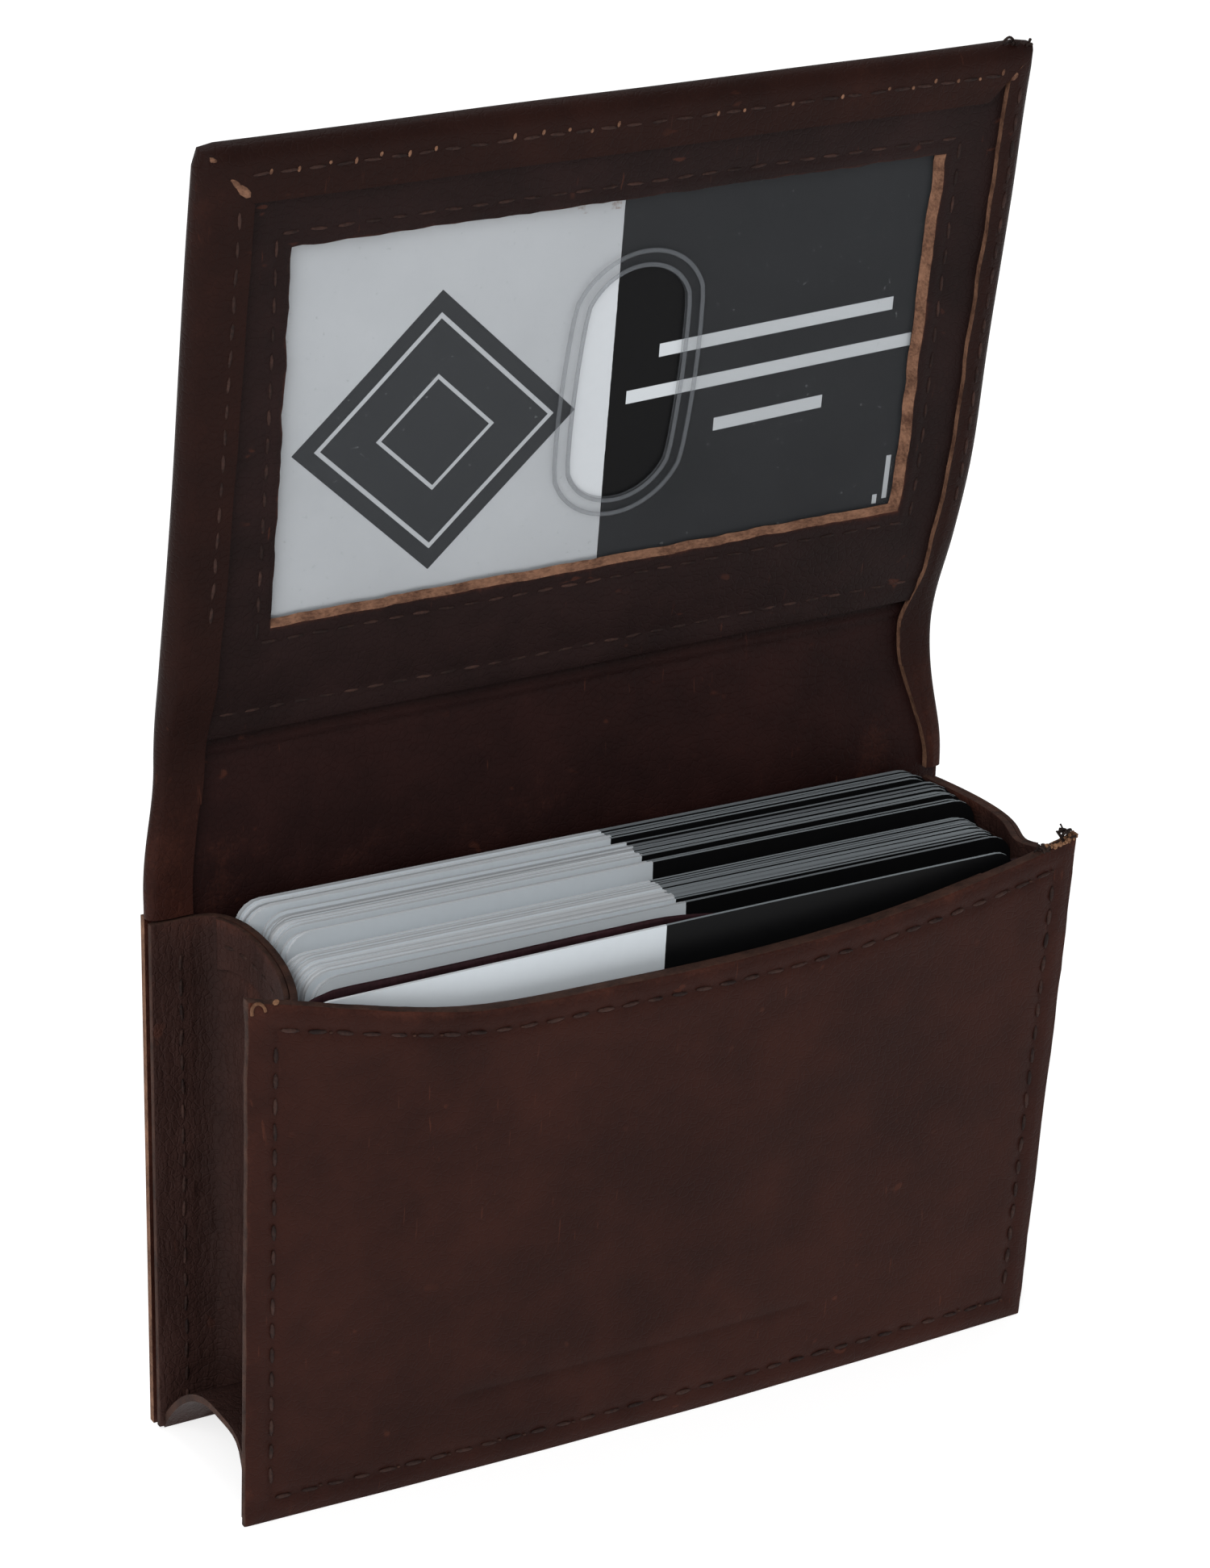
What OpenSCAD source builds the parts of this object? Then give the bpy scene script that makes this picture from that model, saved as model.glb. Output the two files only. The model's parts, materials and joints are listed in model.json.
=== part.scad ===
// Gusseted leather business card case, standing open with its flap raised.
// Millimetres. +Z is up, +X is the wearer's right, and -Y is the front.
// The origin is on the floor under the middle of the case's overall depth.

/* [Case body] */
// Width of the front and back panels
case_w = 103; // [96:0.5:125]
// Height of the front panel at its corners
case_h = 64; // [62:0.5:78]
// Outside depth of the case at the floor
case_d = 24.5; // [22:0.5:36]
// Lean of the front panel away from the cards, in degrees
front_lean = 2.7; // [0:0.1:4]
// Depth of the concave cut in the front panel's top edge
front_dip = 5.5; // [0:0.5:12]
// How far the side gussets' top edges lie below the front panel's corners
gusset_drop = 1.5; // [0.5:0.1:4]
// How far the left gusset folds in towards the cards
gusset_fold = 4.6; // [2:0.1:4.7]
// How far the right gusset is pushed outwards
gusset_push = 1.2; // [0:0.1:2]
// Height of the arch of the bottom gusset
arch_h = 9.6; // [5:0.1:9.8]

/* [Spine and flap] */
// How far the spine and the flap are set in from each side of the case
flap_inset = 2; // [0.5:0.1:4]
// How much shorter the spine is than the case is deep
spine_short = 3; // [2:0.1:4]
// How much longer the flap is than the front panel is high
flap_cover = 4; // [0:0.5:8]
// Forward lean of the open flap, in degrees
flap_lean = 11; // [0:1:25]
// Height of the lower fold line above the gussets' top edges
lower_fold = 2.5; // [2:0.1:5]
// Height of the upper fold line above the crease
upper_fold = 4.8; // [3.5:0.1:6]
// How far each fold may open backwards, in degrees
fold_back = 60; // [20:5:70]

/* [Leather and linings] */
// Thickness of the outer leather
leather_t = 1.1; // [0.8:0.05:1.6]
// Thickness of the inner lining
lining_t = 0.5; // [0.3:0.05:0.8]
// Thickness of the gusset leather
gusset_t = 0.9; // [0.6:0.05:1.1]
// Thickness of the leather window frame
frame_t = 0.9; // [0.6:0.05:1.2]
// Thickness of the turned hems
hem_t = 0.7; // [0.4:0.05:1]
// Width of the turned hems
hem_w = 6.2; // [4:0.1:8]
// Thickness of the card pocket's divider
divider_t = 0.4; // [0.2:0.05:0.6]

/* [Window] */
// Width of the window opening
window_w = 79; // [60:0.5:84]
// Height of the window opening
window_h = 44.5; // [36:0.5:47]
// Height of the window's lower edge above the crease
window_base = 12; // [10:0.5:14]
// Sideways place of the window's middle
window_x = 1.4; // [-2:0.1:2]
// Thickness of the clear window sheet
sheet_t = 0.25; // [0.15:0.05:0.4]
// How far the clear sheet reaches under the frame
sheet_lap = 3; // [2:0.5:3.5]
// Width of the thumb slot
slot_w = 12.6; // [10:0.2:20]
// Length of the thumb slot
slot_h = 27.6; // [18:0.2:34]
// Height of the slot's middle above the crease
slot_mid = 34; // [30:0.5:38]
// Sideways place of the slot's middle
slot_x = 3.4; // [-4:0.1:8]
// Width of the embossed rim around the slot
rim_w = 2; // [1:0.1:3]

/* [Cards] */
// Width of a card
card_w = 89; // [85:0.5:90]
// Height of a card
card_h = 51; // [48:0.5:51.5]
// Thickness of a card
card_t = 0.34; // [0.2:0.01:0.45]
// Air between two cards of a bundle
card_air = 0.04; // [0.02:0.01:0.08]
// Corner radius of a card
card_r = 3; // [1:0.5:5]
// Cards in the rear bundle
rear_count = 8; // [2:1:10]
// Cards in the middle bundle
middle_count = 12; // [2:1:14]
// Number of loose cards before the middle and before the front bundle
loose_count = 2; // [1:1:3]
// Open gap behind the front bundle
front_gap = 1.6; // [0.5:0.1:3]

/* [Stitching] */
// Distance between stitches
stitch_pitch = 3; // [2.4:0.1:4]
// Length of the visible part of one stitch
stitch_len = 2.2; // [1.4:0.1:2.3]
// Radius of the thread
thread_r = 0.24; // [0.15:0.01:0.35]
// Distance of a seam from the edge it follows
seam_inset = 3; // [2:0.1:4]

/* [Hidden] */

// sizes that follow from the case
gusset_h = case_h - gusset_drop;
flap_w = case_w - 2 * flap_inset;
spine_h = case_d - spine_short;
flap_h = case_h + flap_cover;

// clearances
fit_gap = 0.15;
card_gap = 0.3;
fold_gap = 0.12;
floor_gap = 0.2;
edge_inset = 0.3;
hem_gap = 0.03;
thread_gap = 0.2;

// layers of the front, measured inwards from its outer face
front_hem_y = leather_t;
pocket_card_y = leather_t + hem_t + fit_gap;
divider_y = pocket_card_y + card_t + fit_gap;
front_stack_t = divider_y + divider_t;

// inner faces of the back
lining_y = case_d - leather_t;
back_face_y = lining_y - lining_t;

// folds: the lower one on the inner face of the back, the upper one on the inner face of the flap
crease_z = gusset_h + spine_h;
lower_z = gusset_h + lower_fold;
notch_a = fold_back / 2 + 2;

// layers of the flap, measured inwards from its outer face
card_n = leather_t + fit_gap;
sheet_n = card_n + card_t + fit_gap;
frame_n = sheet_n + sheet_t + fit_gap / 3;
hem_n = frame_n + frame_t;
flap_stack_t = hem_n + hem_t;

// the cards' places
stack_front_y = front_stack_t + card_gap;
stack_back_y = back_face_y - hem_t - card_gap / 2;
card_base = floor_gap + arch_h + gusset_t + card_gap;
rear_x = 3.2;
middle_x = 4.2;
front_x = 2.3;
pocket_x = 1.2;
rear_lift = 1.4;
middle_lift = 1.1;
rear_gap = 0.6;
loose_gap = 1.0;
card_pitch = card_t + card_air;
rear_y = stack_back_y - bundle_t(rear_count);
middle_y = rear_y - rear_gap - bundle_t(middle_count);
loose_y = middle_y - loose_gap - bundle_t(loose_count);
front_y = stack_front_y + bundle_t(loose_count) + rear_gap;
front_count = floor((loose_y - front_gap - front_y) / card_pitch);
flap_card_base = window_base + window_h / 2 - card_h / 2;

// gusset outlines
gusset_steps = 14;
gusset_front_y = stack_front_y + gusset_t / 2;
gusset_back_y = back_face_y - gusset_t / 2 - fit_gap / 3;
flange_w = 4.8;
left_root_x = -case_w / 2 + edge_inset + flange_w;
right_root_x = case_w / 2 - gusset_t / 2 - hem_t - 2 * thread_r - 2 * edge_inset;
front_dent = 1.8;

// the middle of the overall depth
front_reach = case_h * sin(front_lean) + 2 * thread_r;
y_mid = (case_d + 2 * thread_r - front_reach) / 2;

leather = "#3a231f";
leather_dark = "#2a1815";
thread = "#4a3430";
paper = "#d5dade";
clear = [0.85, 0.9, 0.95, 0.35];

// ---------- helpers ----------

// puts a piece of the case body in place
module in_case() translate([0, -y_mid, 0]) children();

// a piece of the front leans about the front's lower outer edge
module in_front() in_case() rotate([front_lean, 0, 0]) children();

// a piece of the flap: Z runs up the flap from the crease, and -Y is its depth from the outer face
module in_flap() in_case() translate([0, case_d, crease_z]) rotate([flap_lean, 0, 0]) children();

// a block given by its lowest corner and its highest corner
module block(low, high) translate(low) cube(high - low);

// a flat card-like plate in the XZ plane, centred on X, from y to y + t
module plate(w, h, t, r, y) {
    translate([0, y + t, h / 2]) rotate([90, 0, 0]) linear_extrude(t) rounded_rect(w, h, r);
}

// a rectangle with round corners, centred
module rounded_rect(w, h, r) {
    union() {
        square([w - 2 * r, h], center = true);
        square([w, h - 2 * r], center = true);
        for (sx = [-1, 1], sy = [-1, 1]) {
            translate([sx * (w / 2 - r), sy * (h / 2 - r)]) circle(r, $fn = 40);
        }
    }
}

// a stadium, centred, long in Y
module stadium(w, h) {
    union() {
        square([w, h - w], center = true);
        for (s = [-1, 1]) translate([0, s * (h - w) / 2]) circle(d = w, $fn = 64);
    }
}

// a wedge that frees a fold: its tip is on the fold's axis and it opens towards +Y
module fold_notch(depth) {
    reach = depth + 2;
    half = reach * tan(notch_a) + fold_gap;
    rotate([90, 0, 90]) linear_extrude(2 * case_w, center = true)
        polygon([[-0.5, -fold_gap], [reach, -half], [reach, half], [-0.5, fold_gap]]);
}

module lower_notch() translate([0, back_face_y, lower_z]) fold_notch(case_d - back_face_y);

module upper_notch() translate([0, -flap_stack_t, upper_fold]) fold_notch(flap_stack_t);

// one stitch along X at a point
module stitch() rotate([0, 90, 0]) cylinder(h = stitch_len, r = thread_r, center = true, $fn = 16);

function stitch_count(len) = max(1, floor(len / stitch_pitch));

// a straight row of stitches along X, centred
module stitch_row(len) {
    n = stitch_count(len);
    for (i = [0 : n - 1]) translate([(i - (n - 1) / 2) * stitch_pitch, 0, 0]) stitch();
}

// a straight row of stitches along Z, centred
module stitch_column(len) rotate([0, 90, 0]) stitch_row(len);

// offset outline of a thin strip that follows a list of points
function strip_normal(p, i) =
    let (a = p[max(0, i - 1)], b = p[min(len(p) - 1, i + 1)], d = b - a)
    [-d[1], d[0]] / norm(d);
function strip_side(p, t) = [for (i = [0 : len(p) - 1]) p[i] + strip_normal(p, i) * t / 2];
function reversed(p) = [for (i = [len(p) - 1 : -1 : 0]) p[i]];
function strip_outline(p, t) = concat(strip_side(p, t), reversed(strip_side(p, -t)));

// middle lines of the gussets, seen from above
function left_fold(s) = gusset_fold * pow(sin(180 * pow(s, 0.55)), 0.7);
function right_fold(s) = gusset_push * sin(180 * s) - front_dent * pow(sin(180 * pow(s, 4)), 2);
function depth_at(s) = gusset_back_y + s * (gusset_front_y - gusset_back_y);
left_line = concat(
    [[left_root_x - flange_w, gusset_back_y]],
    [for (i = [0 : gusset_steps]) let (s = i / gusset_steps) [left_root_x + left_fold(s), depth_at(s)]]
);
right_line = [for (i = [0 : gusset_steps])
    let (s = i / gusset_steps) [right_root_x + right_fold(s), depth_at(s)]];
arch_line = [for (i = [0 : gusset_steps])
    let (s = i / gusset_steps)
    [depth_at(s), floor_gap + arch_h * pow(sin(180 * s), 0.5)]];

// a row of cards, one behind the other, each a separate solid
module card_bundle(count, x, y, z) {
    for (i = [0 : count - 1]) translate([x, 0, z]) plate(card_w, card_h, card_t, card_r, y + i * card_pitch);
}

function bundle_t(count) = (count - 1) * card_pitch + card_t;

// ---------- back of the case ----------

module back_panel() color(leather) in_case() difference() {
    block([-case_w / 2, lining_y, 0], [case_w / 2, case_d, lower_z]);
    lower_notch();
}

module back_lining() color(leather_dark) in_case() difference() {
    block([-case_w / 2 + edge_inset, back_face_y, floor_gap], [case_w / 2 - edge_inset, lining_y, lower_z]);
    lower_notch();
}

module side_gusset(line) {
    translate([0, 0, arch_h + 2 * gusset_t])
        linear_extrude(gusset_h - arch_h - 2 * gusset_t) polygon(strip_outline(line, gusset_t));
}

module left_gusset() color(leather_dark) in_case() side_gusset(left_line);

module right_gusset() color(leather_dark) in_case() side_gusset(right_line);

module bottom_gusset() color(leather_dark) in_case() {
    rotate([90, 0, 90]) linear_extrude(case_w - 4 * edge_inset, center = true)
        polygon(strip_outline(arch_line, gusset_t));
}

// a turned hem along a gusset's top edge, on its outer side
module gusset_hem(line, side) {
    shift = side * (gusset_t / 2 + hem_gap + hem_t / 2);
    moved = [for (i = [1 : len(line) - 2]) line[i] + strip_normal(line, i) * shift];
    translate([0, 0, gusset_h - hem_w]) linear_extrude(hem_w) polygon(strip_outline(moved, hem_t));
}

module left_gusset_hem() color(leather_dark) in_case() gusset_hem(left_line, -1);

module right_gusset_hem() color(leather_dark) in_case() gusset_hem(right_line, 1);

module back_seam_thread() color(thread) in_case() {
    z_mid = gusset_h / 2;
    y = case_d + thread_r;
    for (side = [-1, 1]) {
        translate([side * (case_w / 2 - seam_inset), y, z_mid]) stitch_column(gusset_h - 2 * seam_inset);
    }
    translate([0, y, seam_inset]) stitch_row(case_w - 4 * seam_inset);
}

// stitches along a gusset hem, on its outer face
module hem_stitches(line, side) {
    shift = side * (gusset_t / 2 + hem_t + thread_r + thread_gap);
    for (i = [4 : 2 : len(line) - 4]) {
        p = line[i] + strip_normal(line, i) * shift;
        d = line[i + 1] - line[i - 1];
        translate([p[0], p[1], gusset_h - hem_w / 2]) rotate([0, 0, atan2(d[1], d[0])]) stitch();
    }
}

module gusset_hem_thread() color(thread) in_case() {
    hem_stitches(left_line, -1);
    hem_stitches(right_line, 1);
}

// ---------- spine ----------

// the outer leather between the two folds: an upright band and the foot of the leaning flap
module spine_panel() color(leather) {
    difference() {
        union() {
            in_case() block([-flap_w / 2, lining_y, lower_z], [flap_w / 2, case_d, crease_z]);
            in_flap() block([-flap_w / 2, -leather_t, 0], [flap_w / 2, 0, upper_fold]);
        }
        in_case() lower_notch();
        in_flap() upper_notch();
    }
}

module spine_lining() color(leather_dark) in_case() difference() {
    block([-flap_w / 2 + edge_inset, back_face_y, lower_z], [flap_w / 2 - edge_inset, lining_y, crease_z - 2]);
    lower_notch();
}

module spine_hems() color(leather_dark) in_case() difference() {
    for (side = [-1, 1]) {
        translate([side * (flap_w - hem_w) / 2, 0, 0])
            block([-hem_w / 2, back_face_y - hem_t, lower_z + hem_t], [hem_w / 2, back_face_y, crease_z - 2]);
    }
    lower_notch();
}

module frame_lower_strip() color(leather_dark) in_flap() difference() {
    block([-flap_w / 2 + edge_inset, -hem_n, edge_inset], [flap_w / 2 - edge_inset, -frame_n, upper_fold]);
    upper_notch();
}

module frame_edge_thread() color(thread) in_flap() {
    translate([0, -hem_n - thread_r, upper_fold / 2 - fit_gap]) stitch_row(flap_w - 2 * hem_w);
}

// ---------- flap ----------

module flap_panel() color(leather) in_flap() difference() {
    plate(flap_w, flap_h, leather_t, card_r, -leather_t);
    block([-flap_w, -flap_stack_t, -1], [flap_w, 1, upper_fold]);
    upper_notch();
}

// the leather frame, thick at its sewn margins and thin over the card pocket
module window_frame() color(leather_dark) in_flap() difference() {
    block([-flap_w / 2 + edge_inset, -hem_n, upper_fold], [flap_w / 2 - edge_inset, -leather_t, flap_h - edge_inset]);
    translate([window_x, 0, 0])
        block([-card_w / 2 - card_gap, -frame_n, 0],
              [card_w / 2 + card_gap, 0, flap_card_base + card_h + card_gap]);
    translate([window_x, 0, window_base]) block([-window_w / 2, -flap_stack_t, 0], [window_w / 2, 0, window_h]);
    upper_notch();
}

module clear_window() color(clear) in_flap() difference() {
    translate([window_x, 0, window_base - sheet_lap])
        plate(window_w + 2 * sheet_lap, window_h + 2 * sheet_lap, sheet_t, card_r, -sheet_n - sheet_t);
    translate([slot_x, 0, slot_mid]) rotate([90, 0, 0]) linear_extrude(2 * flap_stack_t) stadium(slot_w, slot_h);
}

// the embossed ridge around the thumb slot
module slot_rim() color(clear) in_flap() {
    rise = 0.25;
    translate([slot_x, -sheet_n - sheet_t, slot_mid]) rotate([90, 0, 0]) linear_extrude(rise) difference() {
        stadium(slot_w + 2 * rim_w, slot_h + 2 * rim_w);
        stadium(slot_w + rim_w, slot_h + rim_w);
    }
}

module flap_hem() color(leather_dark) in_flap() difference() {
    plate(flap_w, flap_h, hem_t, card_r, -flap_stack_t);
    block([-flap_w / 2 + hem_w, -flap_stack_t - 1, -1], [flap_w / 2 - hem_w, 0, flap_h - hem_w]);
    block([-flap_w, -flap_stack_t - 1, -1], [flap_w, 1, upper_fold + fold_gap]);
    upper_notch();
}

module window_thread() color(thread) in_flap() {
    off = seam_inset / 2;
    y = -hem_n - thread_r;
    translate([window_x, y, window_base + window_h + off]) stitch_row(window_w);
    translate([window_x, y, window_base - off]) stitch_row(window_w);
    for (side = [-1, 1]) {
        translate([window_x + side * (window_w / 2 + off), y, window_base + window_h / 2])
            stitch_column(window_h - 2 * off);
    }
}

module flap_hem_thread() color(thread) in_flap() {
    y = -flap_stack_t - thread_r;
    mid = hem_w - seam_inset / 2;
    translate([0, y, flap_h - mid]) stitch_row(flap_w - 3 * mid);
    for (side = [-1, 1]) {
        translate([side * (flap_w / 2 - mid), y, flap_h / 2]) stitch_column(flap_h - 4 * mid);
    }
}

module window_card() color(paper) in_flap() {
    translate([window_x, 0, flap_card_base]) plate(card_w, card_h, card_t, card_r, -card_n - card_t);
}

// ---------- front of the case ----------

// radius of the concave top edge, from its span and its depth
function dip_r() = (pow(case_w / 2, 2) + pow(front_dip, 2)) / (2 * front_dip);

// everything above the concave top edge, moved down by an amount
module above_top_edge(down) {
    translate([0, 0, case_h - front_dip + dip_r() - down]) rotate([90, 0, 0])
        cylinder(h = 4 * case_d, r = dip_r(), center = true, $fn = 128);
}

module front_panel() color(leather) in_front() difference() {
    block([-case_w / 2, 0, 0], [case_w / 2, leather_t, case_h]);
    above_top_edge(0);
}

module front_top_hem() color(leather_dark) in_front() difference() {
    block([-case_w / 2 + 2 * hem_w, front_hem_y, case_h - front_dip - hem_w],
          [case_w / 2 - 2 * hem_w, front_hem_y + hem_t, case_h]);
    above_top_edge(edge_inset);
    block([-case_w, 0, 0], [case_w, case_d, case_h - front_dip - hem_w]);
}

// the gusset's sewn front margins, which move with the front panel
module front_flange(side) {
    low = side * (case_w / 2 - edge_inset - flange_w / 2);
    translate([low, 0, 0])
        block([-flange_w / 2, front_hem_y, floor_gap], [flange_w / 2, front_hem_y + gusset_t, gusset_h - edge_inset]);
}

module left_front_flange() color(leather_dark) in_front() difference() {
    front_flange(-1);
    above_top_edge(edge_inset);
}

module right_front_flange() color(leather_dark) in_front() difference() {
    front_flange(1);
    above_top_edge(edge_inset);
}

module pocket_divider() color("#2c1726") in_front() {
    inner_w = case_w - 2 * (flange_w + edge_inset + fit_gap);
    block([-inner_w / 2, divider_y, floor_gap], [inner_w / 2, divider_y + divider_t, gusset_h - edge_inset]);
}

// stitches that follow the concave top edge
module front_top_thread() color(thread) in_front() {
    r = dip_r() + seam_inset;
    n = stitch_count(case_w - 3 * seam_inset);
    step = stitch_pitch / r * 180 / PI;
    for (i = [0 : n - 1]) {
        translate([0, -thread_r, case_h - front_dip + dip_r()])
            rotate([0, (i - (n - 1) / 2) * step, 0]) translate([0, 0, -r]) stitch();
    }
}

module front_side_thread() color(thread) in_front() {
    for (side = [-1, 1]) {
        translate([side * (case_w / 2 - seam_inset), -thread_r, (case_h - seam_inset) / 2])
            stitch_column(case_h - 3 * seam_inset);
    }
}

module front_bottom_thread() color(thread) in_front() {
    translate([0, -thread_r, seam_inset]) stitch_row(case_w - 3 * seam_inset);
}

// ---------- cards ----------

module pocket_card() color(paper) in_front() {
    translate([pocket_x, 0, card_base - 1]) plate(card_w, card_h, card_t, card_r, pocket_card_y);
}

module rear_cards() color(paper) in_case() {
    card_bundle(rear_count, rear_x, rear_y, card_base + rear_lift);
}

// the middle bundle, and loose cards a little in front of it
module middle_cards() color(paper) in_case() {
    card_bundle(middle_count, middle_x, middle_y, card_base + middle_lift);
    card_bundle(loose_count, middle_x, loose_y, card_base + middle_lift);
}

// the front bundle, and loose cards before it
module front_cards() color(paper) in_case() {
    card_bundle(loose_count, front_x, stack_front_y, card_base);
    card_bundle(front_count, front_x, front_y, card_base);
}

back_panel();
back_lining();
left_gusset();
right_gusset();
bottom_gusset();
left_gusset_hem();
right_gusset_hem();
back_seam_thread();
gusset_hem_thread();
spine_panel();
spine_lining();
spine_hems();
frame_lower_strip();
frame_edge_thread();
flap_panel();
window_frame();
clear_window();
slot_rim();
flap_hem();
window_thread();
flap_hem_thread();
window_card();
front_panel();
front_top_hem();
left_front_flange();
right_front_flange();
pocket_divider();
front_top_thread();
front_side_thread();
front_bottom_thread();
pocket_card();
rear_cards();
middle_cards();
front_cards();
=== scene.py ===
"""A leather business card case, standing open with its flap raised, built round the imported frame."""

import json
import logging
import math
import random
from dataclasses import dataclass, field
from enum import Enum
from typing import Callable, Iterable, Sequence, Union

import bmesh
import bpy
from bmesh.types import BMEdge, BMFace, BMesh, BMVert
from bpy.types import Material, Object
from mathutils import Matrix, Vector, noise
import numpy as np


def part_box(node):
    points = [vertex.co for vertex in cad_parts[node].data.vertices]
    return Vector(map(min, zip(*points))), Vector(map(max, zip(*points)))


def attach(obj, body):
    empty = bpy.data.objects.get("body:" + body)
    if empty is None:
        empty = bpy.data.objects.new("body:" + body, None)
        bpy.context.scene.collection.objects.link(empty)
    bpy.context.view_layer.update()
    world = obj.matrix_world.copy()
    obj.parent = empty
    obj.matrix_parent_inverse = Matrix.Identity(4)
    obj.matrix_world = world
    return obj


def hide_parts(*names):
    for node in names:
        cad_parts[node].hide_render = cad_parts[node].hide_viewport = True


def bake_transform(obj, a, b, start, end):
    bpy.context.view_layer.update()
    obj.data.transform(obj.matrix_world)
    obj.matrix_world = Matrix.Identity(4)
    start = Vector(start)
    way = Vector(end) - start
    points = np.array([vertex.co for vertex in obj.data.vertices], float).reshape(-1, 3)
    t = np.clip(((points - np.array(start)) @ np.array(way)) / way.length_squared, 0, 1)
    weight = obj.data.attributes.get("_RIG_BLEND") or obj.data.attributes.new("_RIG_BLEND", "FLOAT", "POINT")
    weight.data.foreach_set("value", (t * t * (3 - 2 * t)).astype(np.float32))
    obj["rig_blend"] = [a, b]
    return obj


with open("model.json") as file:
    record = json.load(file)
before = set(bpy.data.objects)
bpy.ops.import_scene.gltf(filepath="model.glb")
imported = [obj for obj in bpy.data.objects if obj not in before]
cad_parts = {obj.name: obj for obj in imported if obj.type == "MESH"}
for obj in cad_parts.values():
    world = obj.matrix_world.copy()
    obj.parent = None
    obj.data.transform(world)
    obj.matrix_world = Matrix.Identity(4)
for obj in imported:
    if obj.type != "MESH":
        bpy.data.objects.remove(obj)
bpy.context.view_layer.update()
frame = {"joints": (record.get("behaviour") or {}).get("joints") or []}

log = logging.getLogger("card_case")

MM = 0.001
Number = Union[int, float]
Place = Callable[[float, float, float], Vector]


# ---------- small sums ----------


def ease(t: float) -> float:
    """Return a smooth step from 0 to 1 as t goes from 0 to 1."""
    t = min(max(t, 0.0), 1.0)
    return t * t * (3.0 - 2.0 * t)


def mix(a: float, b: float, t: float) -> float:
    """Return the value a share t of the way from a to b."""
    return a + (b - a) * t


def bell(d: float, width: float) -> float:
    """Return a bump of height 1 at d = 0 that has died away a few widths off."""
    return math.exp(-((d / width) ** 2))


def drift(x: float, y: float, seed: float, size: float) -> float:
    """Return a slow random height from -1 to 1.

    Args:
        x: First coordinate in millimetres.
        y: Second coordinate in millimetres.
        seed: Which of the patterns to read.
        size: Size of one wave in millimetres.

    Returns:
        The height at the point, the same each run.
    """
    return noise.noise(Vector((x / size, y / size, seed)))


def stations(start: float, end: float, step: float, near: Sequence[float] = ()) -> list[float]:
    """Return places from start to end, closer together beside both ends.

    Args:
        start: First place.
        end: Last place.
        step: Widest gap between two places.
        near: Distances from each end at which a place is wanted.

    Returns:
        The places in rising order.
    """
    low = [start + d for d in (0.0, *near)]
    high = [end - d for d in (0.0, *near)][::-1]
    count = max(1, math.ceil((high[0] - low[-1]) / step))
    middle = [mix(low[-1], high[0], i / count) for i in range(1, count)]
    return low + middle + high


def tint(red: int, green: int, blue: int) -> tuple[float, float, float, float]:
    """Return a linear colour from its 0 to 255 display values."""
    parts = [c / 255.0 for c in (red, green, blue)]
    return (*[c / 12.92 if c <= 0.04045 else ((c + 0.055) / 1.055) ** 2.4 for c in parts], 1.0)


# ---------- shader writing ----------


class Wire:
    """A shader socket that takes part in Python expressions."""

    def __init__(self, recipe: "Recipe", socket: bpy.types.NodeSocket) -> None:
        """Keep the recipe that the socket belongs to, and the socket."""
        self.recipe = recipe
        self.socket = socket

    def __add__(self, other: Union["Wire", Number]) -> "Wire":
        """Return self + other."""
        return self.recipe.sum("ADD", self, other)

    def __radd__(self, other: Number) -> "Wire":
        """Return other + self."""
        return self.recipe.sum("ADD", other, self)

    def __sub__(self, other: Union["Wire", Number]) -> "Wire":
        """Return self - other."""
        return self.recipe.sum("SUBTRACT", self, other)

    def __rsub__(self, other: Number) -> "Wire":
        """Return other - self."""
        return self.recipe.sum("SUBTRACT", other, self)

    def __mul__(self, other: Union["Wire", Number]) -> "Wire":
        """Return self * other."""
        return self.recipe.sum("MULTIPLY", self, other)

    def __rmul__(self, other: Number) -> "Wire":
        """Return other * self."""
        return self.recipe.sum("MULTIPLY", other, self)

    def __abs__(self) -> "Wire":
        """Return the size of self."""
        return self.recipe.sum("ABSOLUTE", self, 0.0)

    def __lt__(self, other: Union["Wire", Number]) -> "Wire":
        """Return 1 where self is below other."""
        return self.recipe.sum("LESS_THAN", self, other)

    def __gt__(self, other: Union["Wire", Number]) -> "Wire":
        """Return 1 where self is above other."""
        return self.recipe.sum("GREATER_THAN", self, other)

    def most(self, other: Union["Wire", Number]) -> "Wire":
        """Return the larger of self and other."""
        return self.recipe.sum("MAXIMUM", self, other)

    def between(self, low: float, high: float) -> "Wire":
        """Return a smooth 0 to 1 as self goes from low to high.

        Args:
            low: Value that gives 0.
            high: Value that gives 1.

        Returns:
            The wire of the step.
        """
        made = self.recipe.node("ShaderNodeMapRange", {"interpolation_type": "SMOOTHSTEP", "clamp": True},
                                {"Value": self, "From Min": low, "From Max": high})
        return Wire(self.recipe, made.outputs[0])


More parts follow.
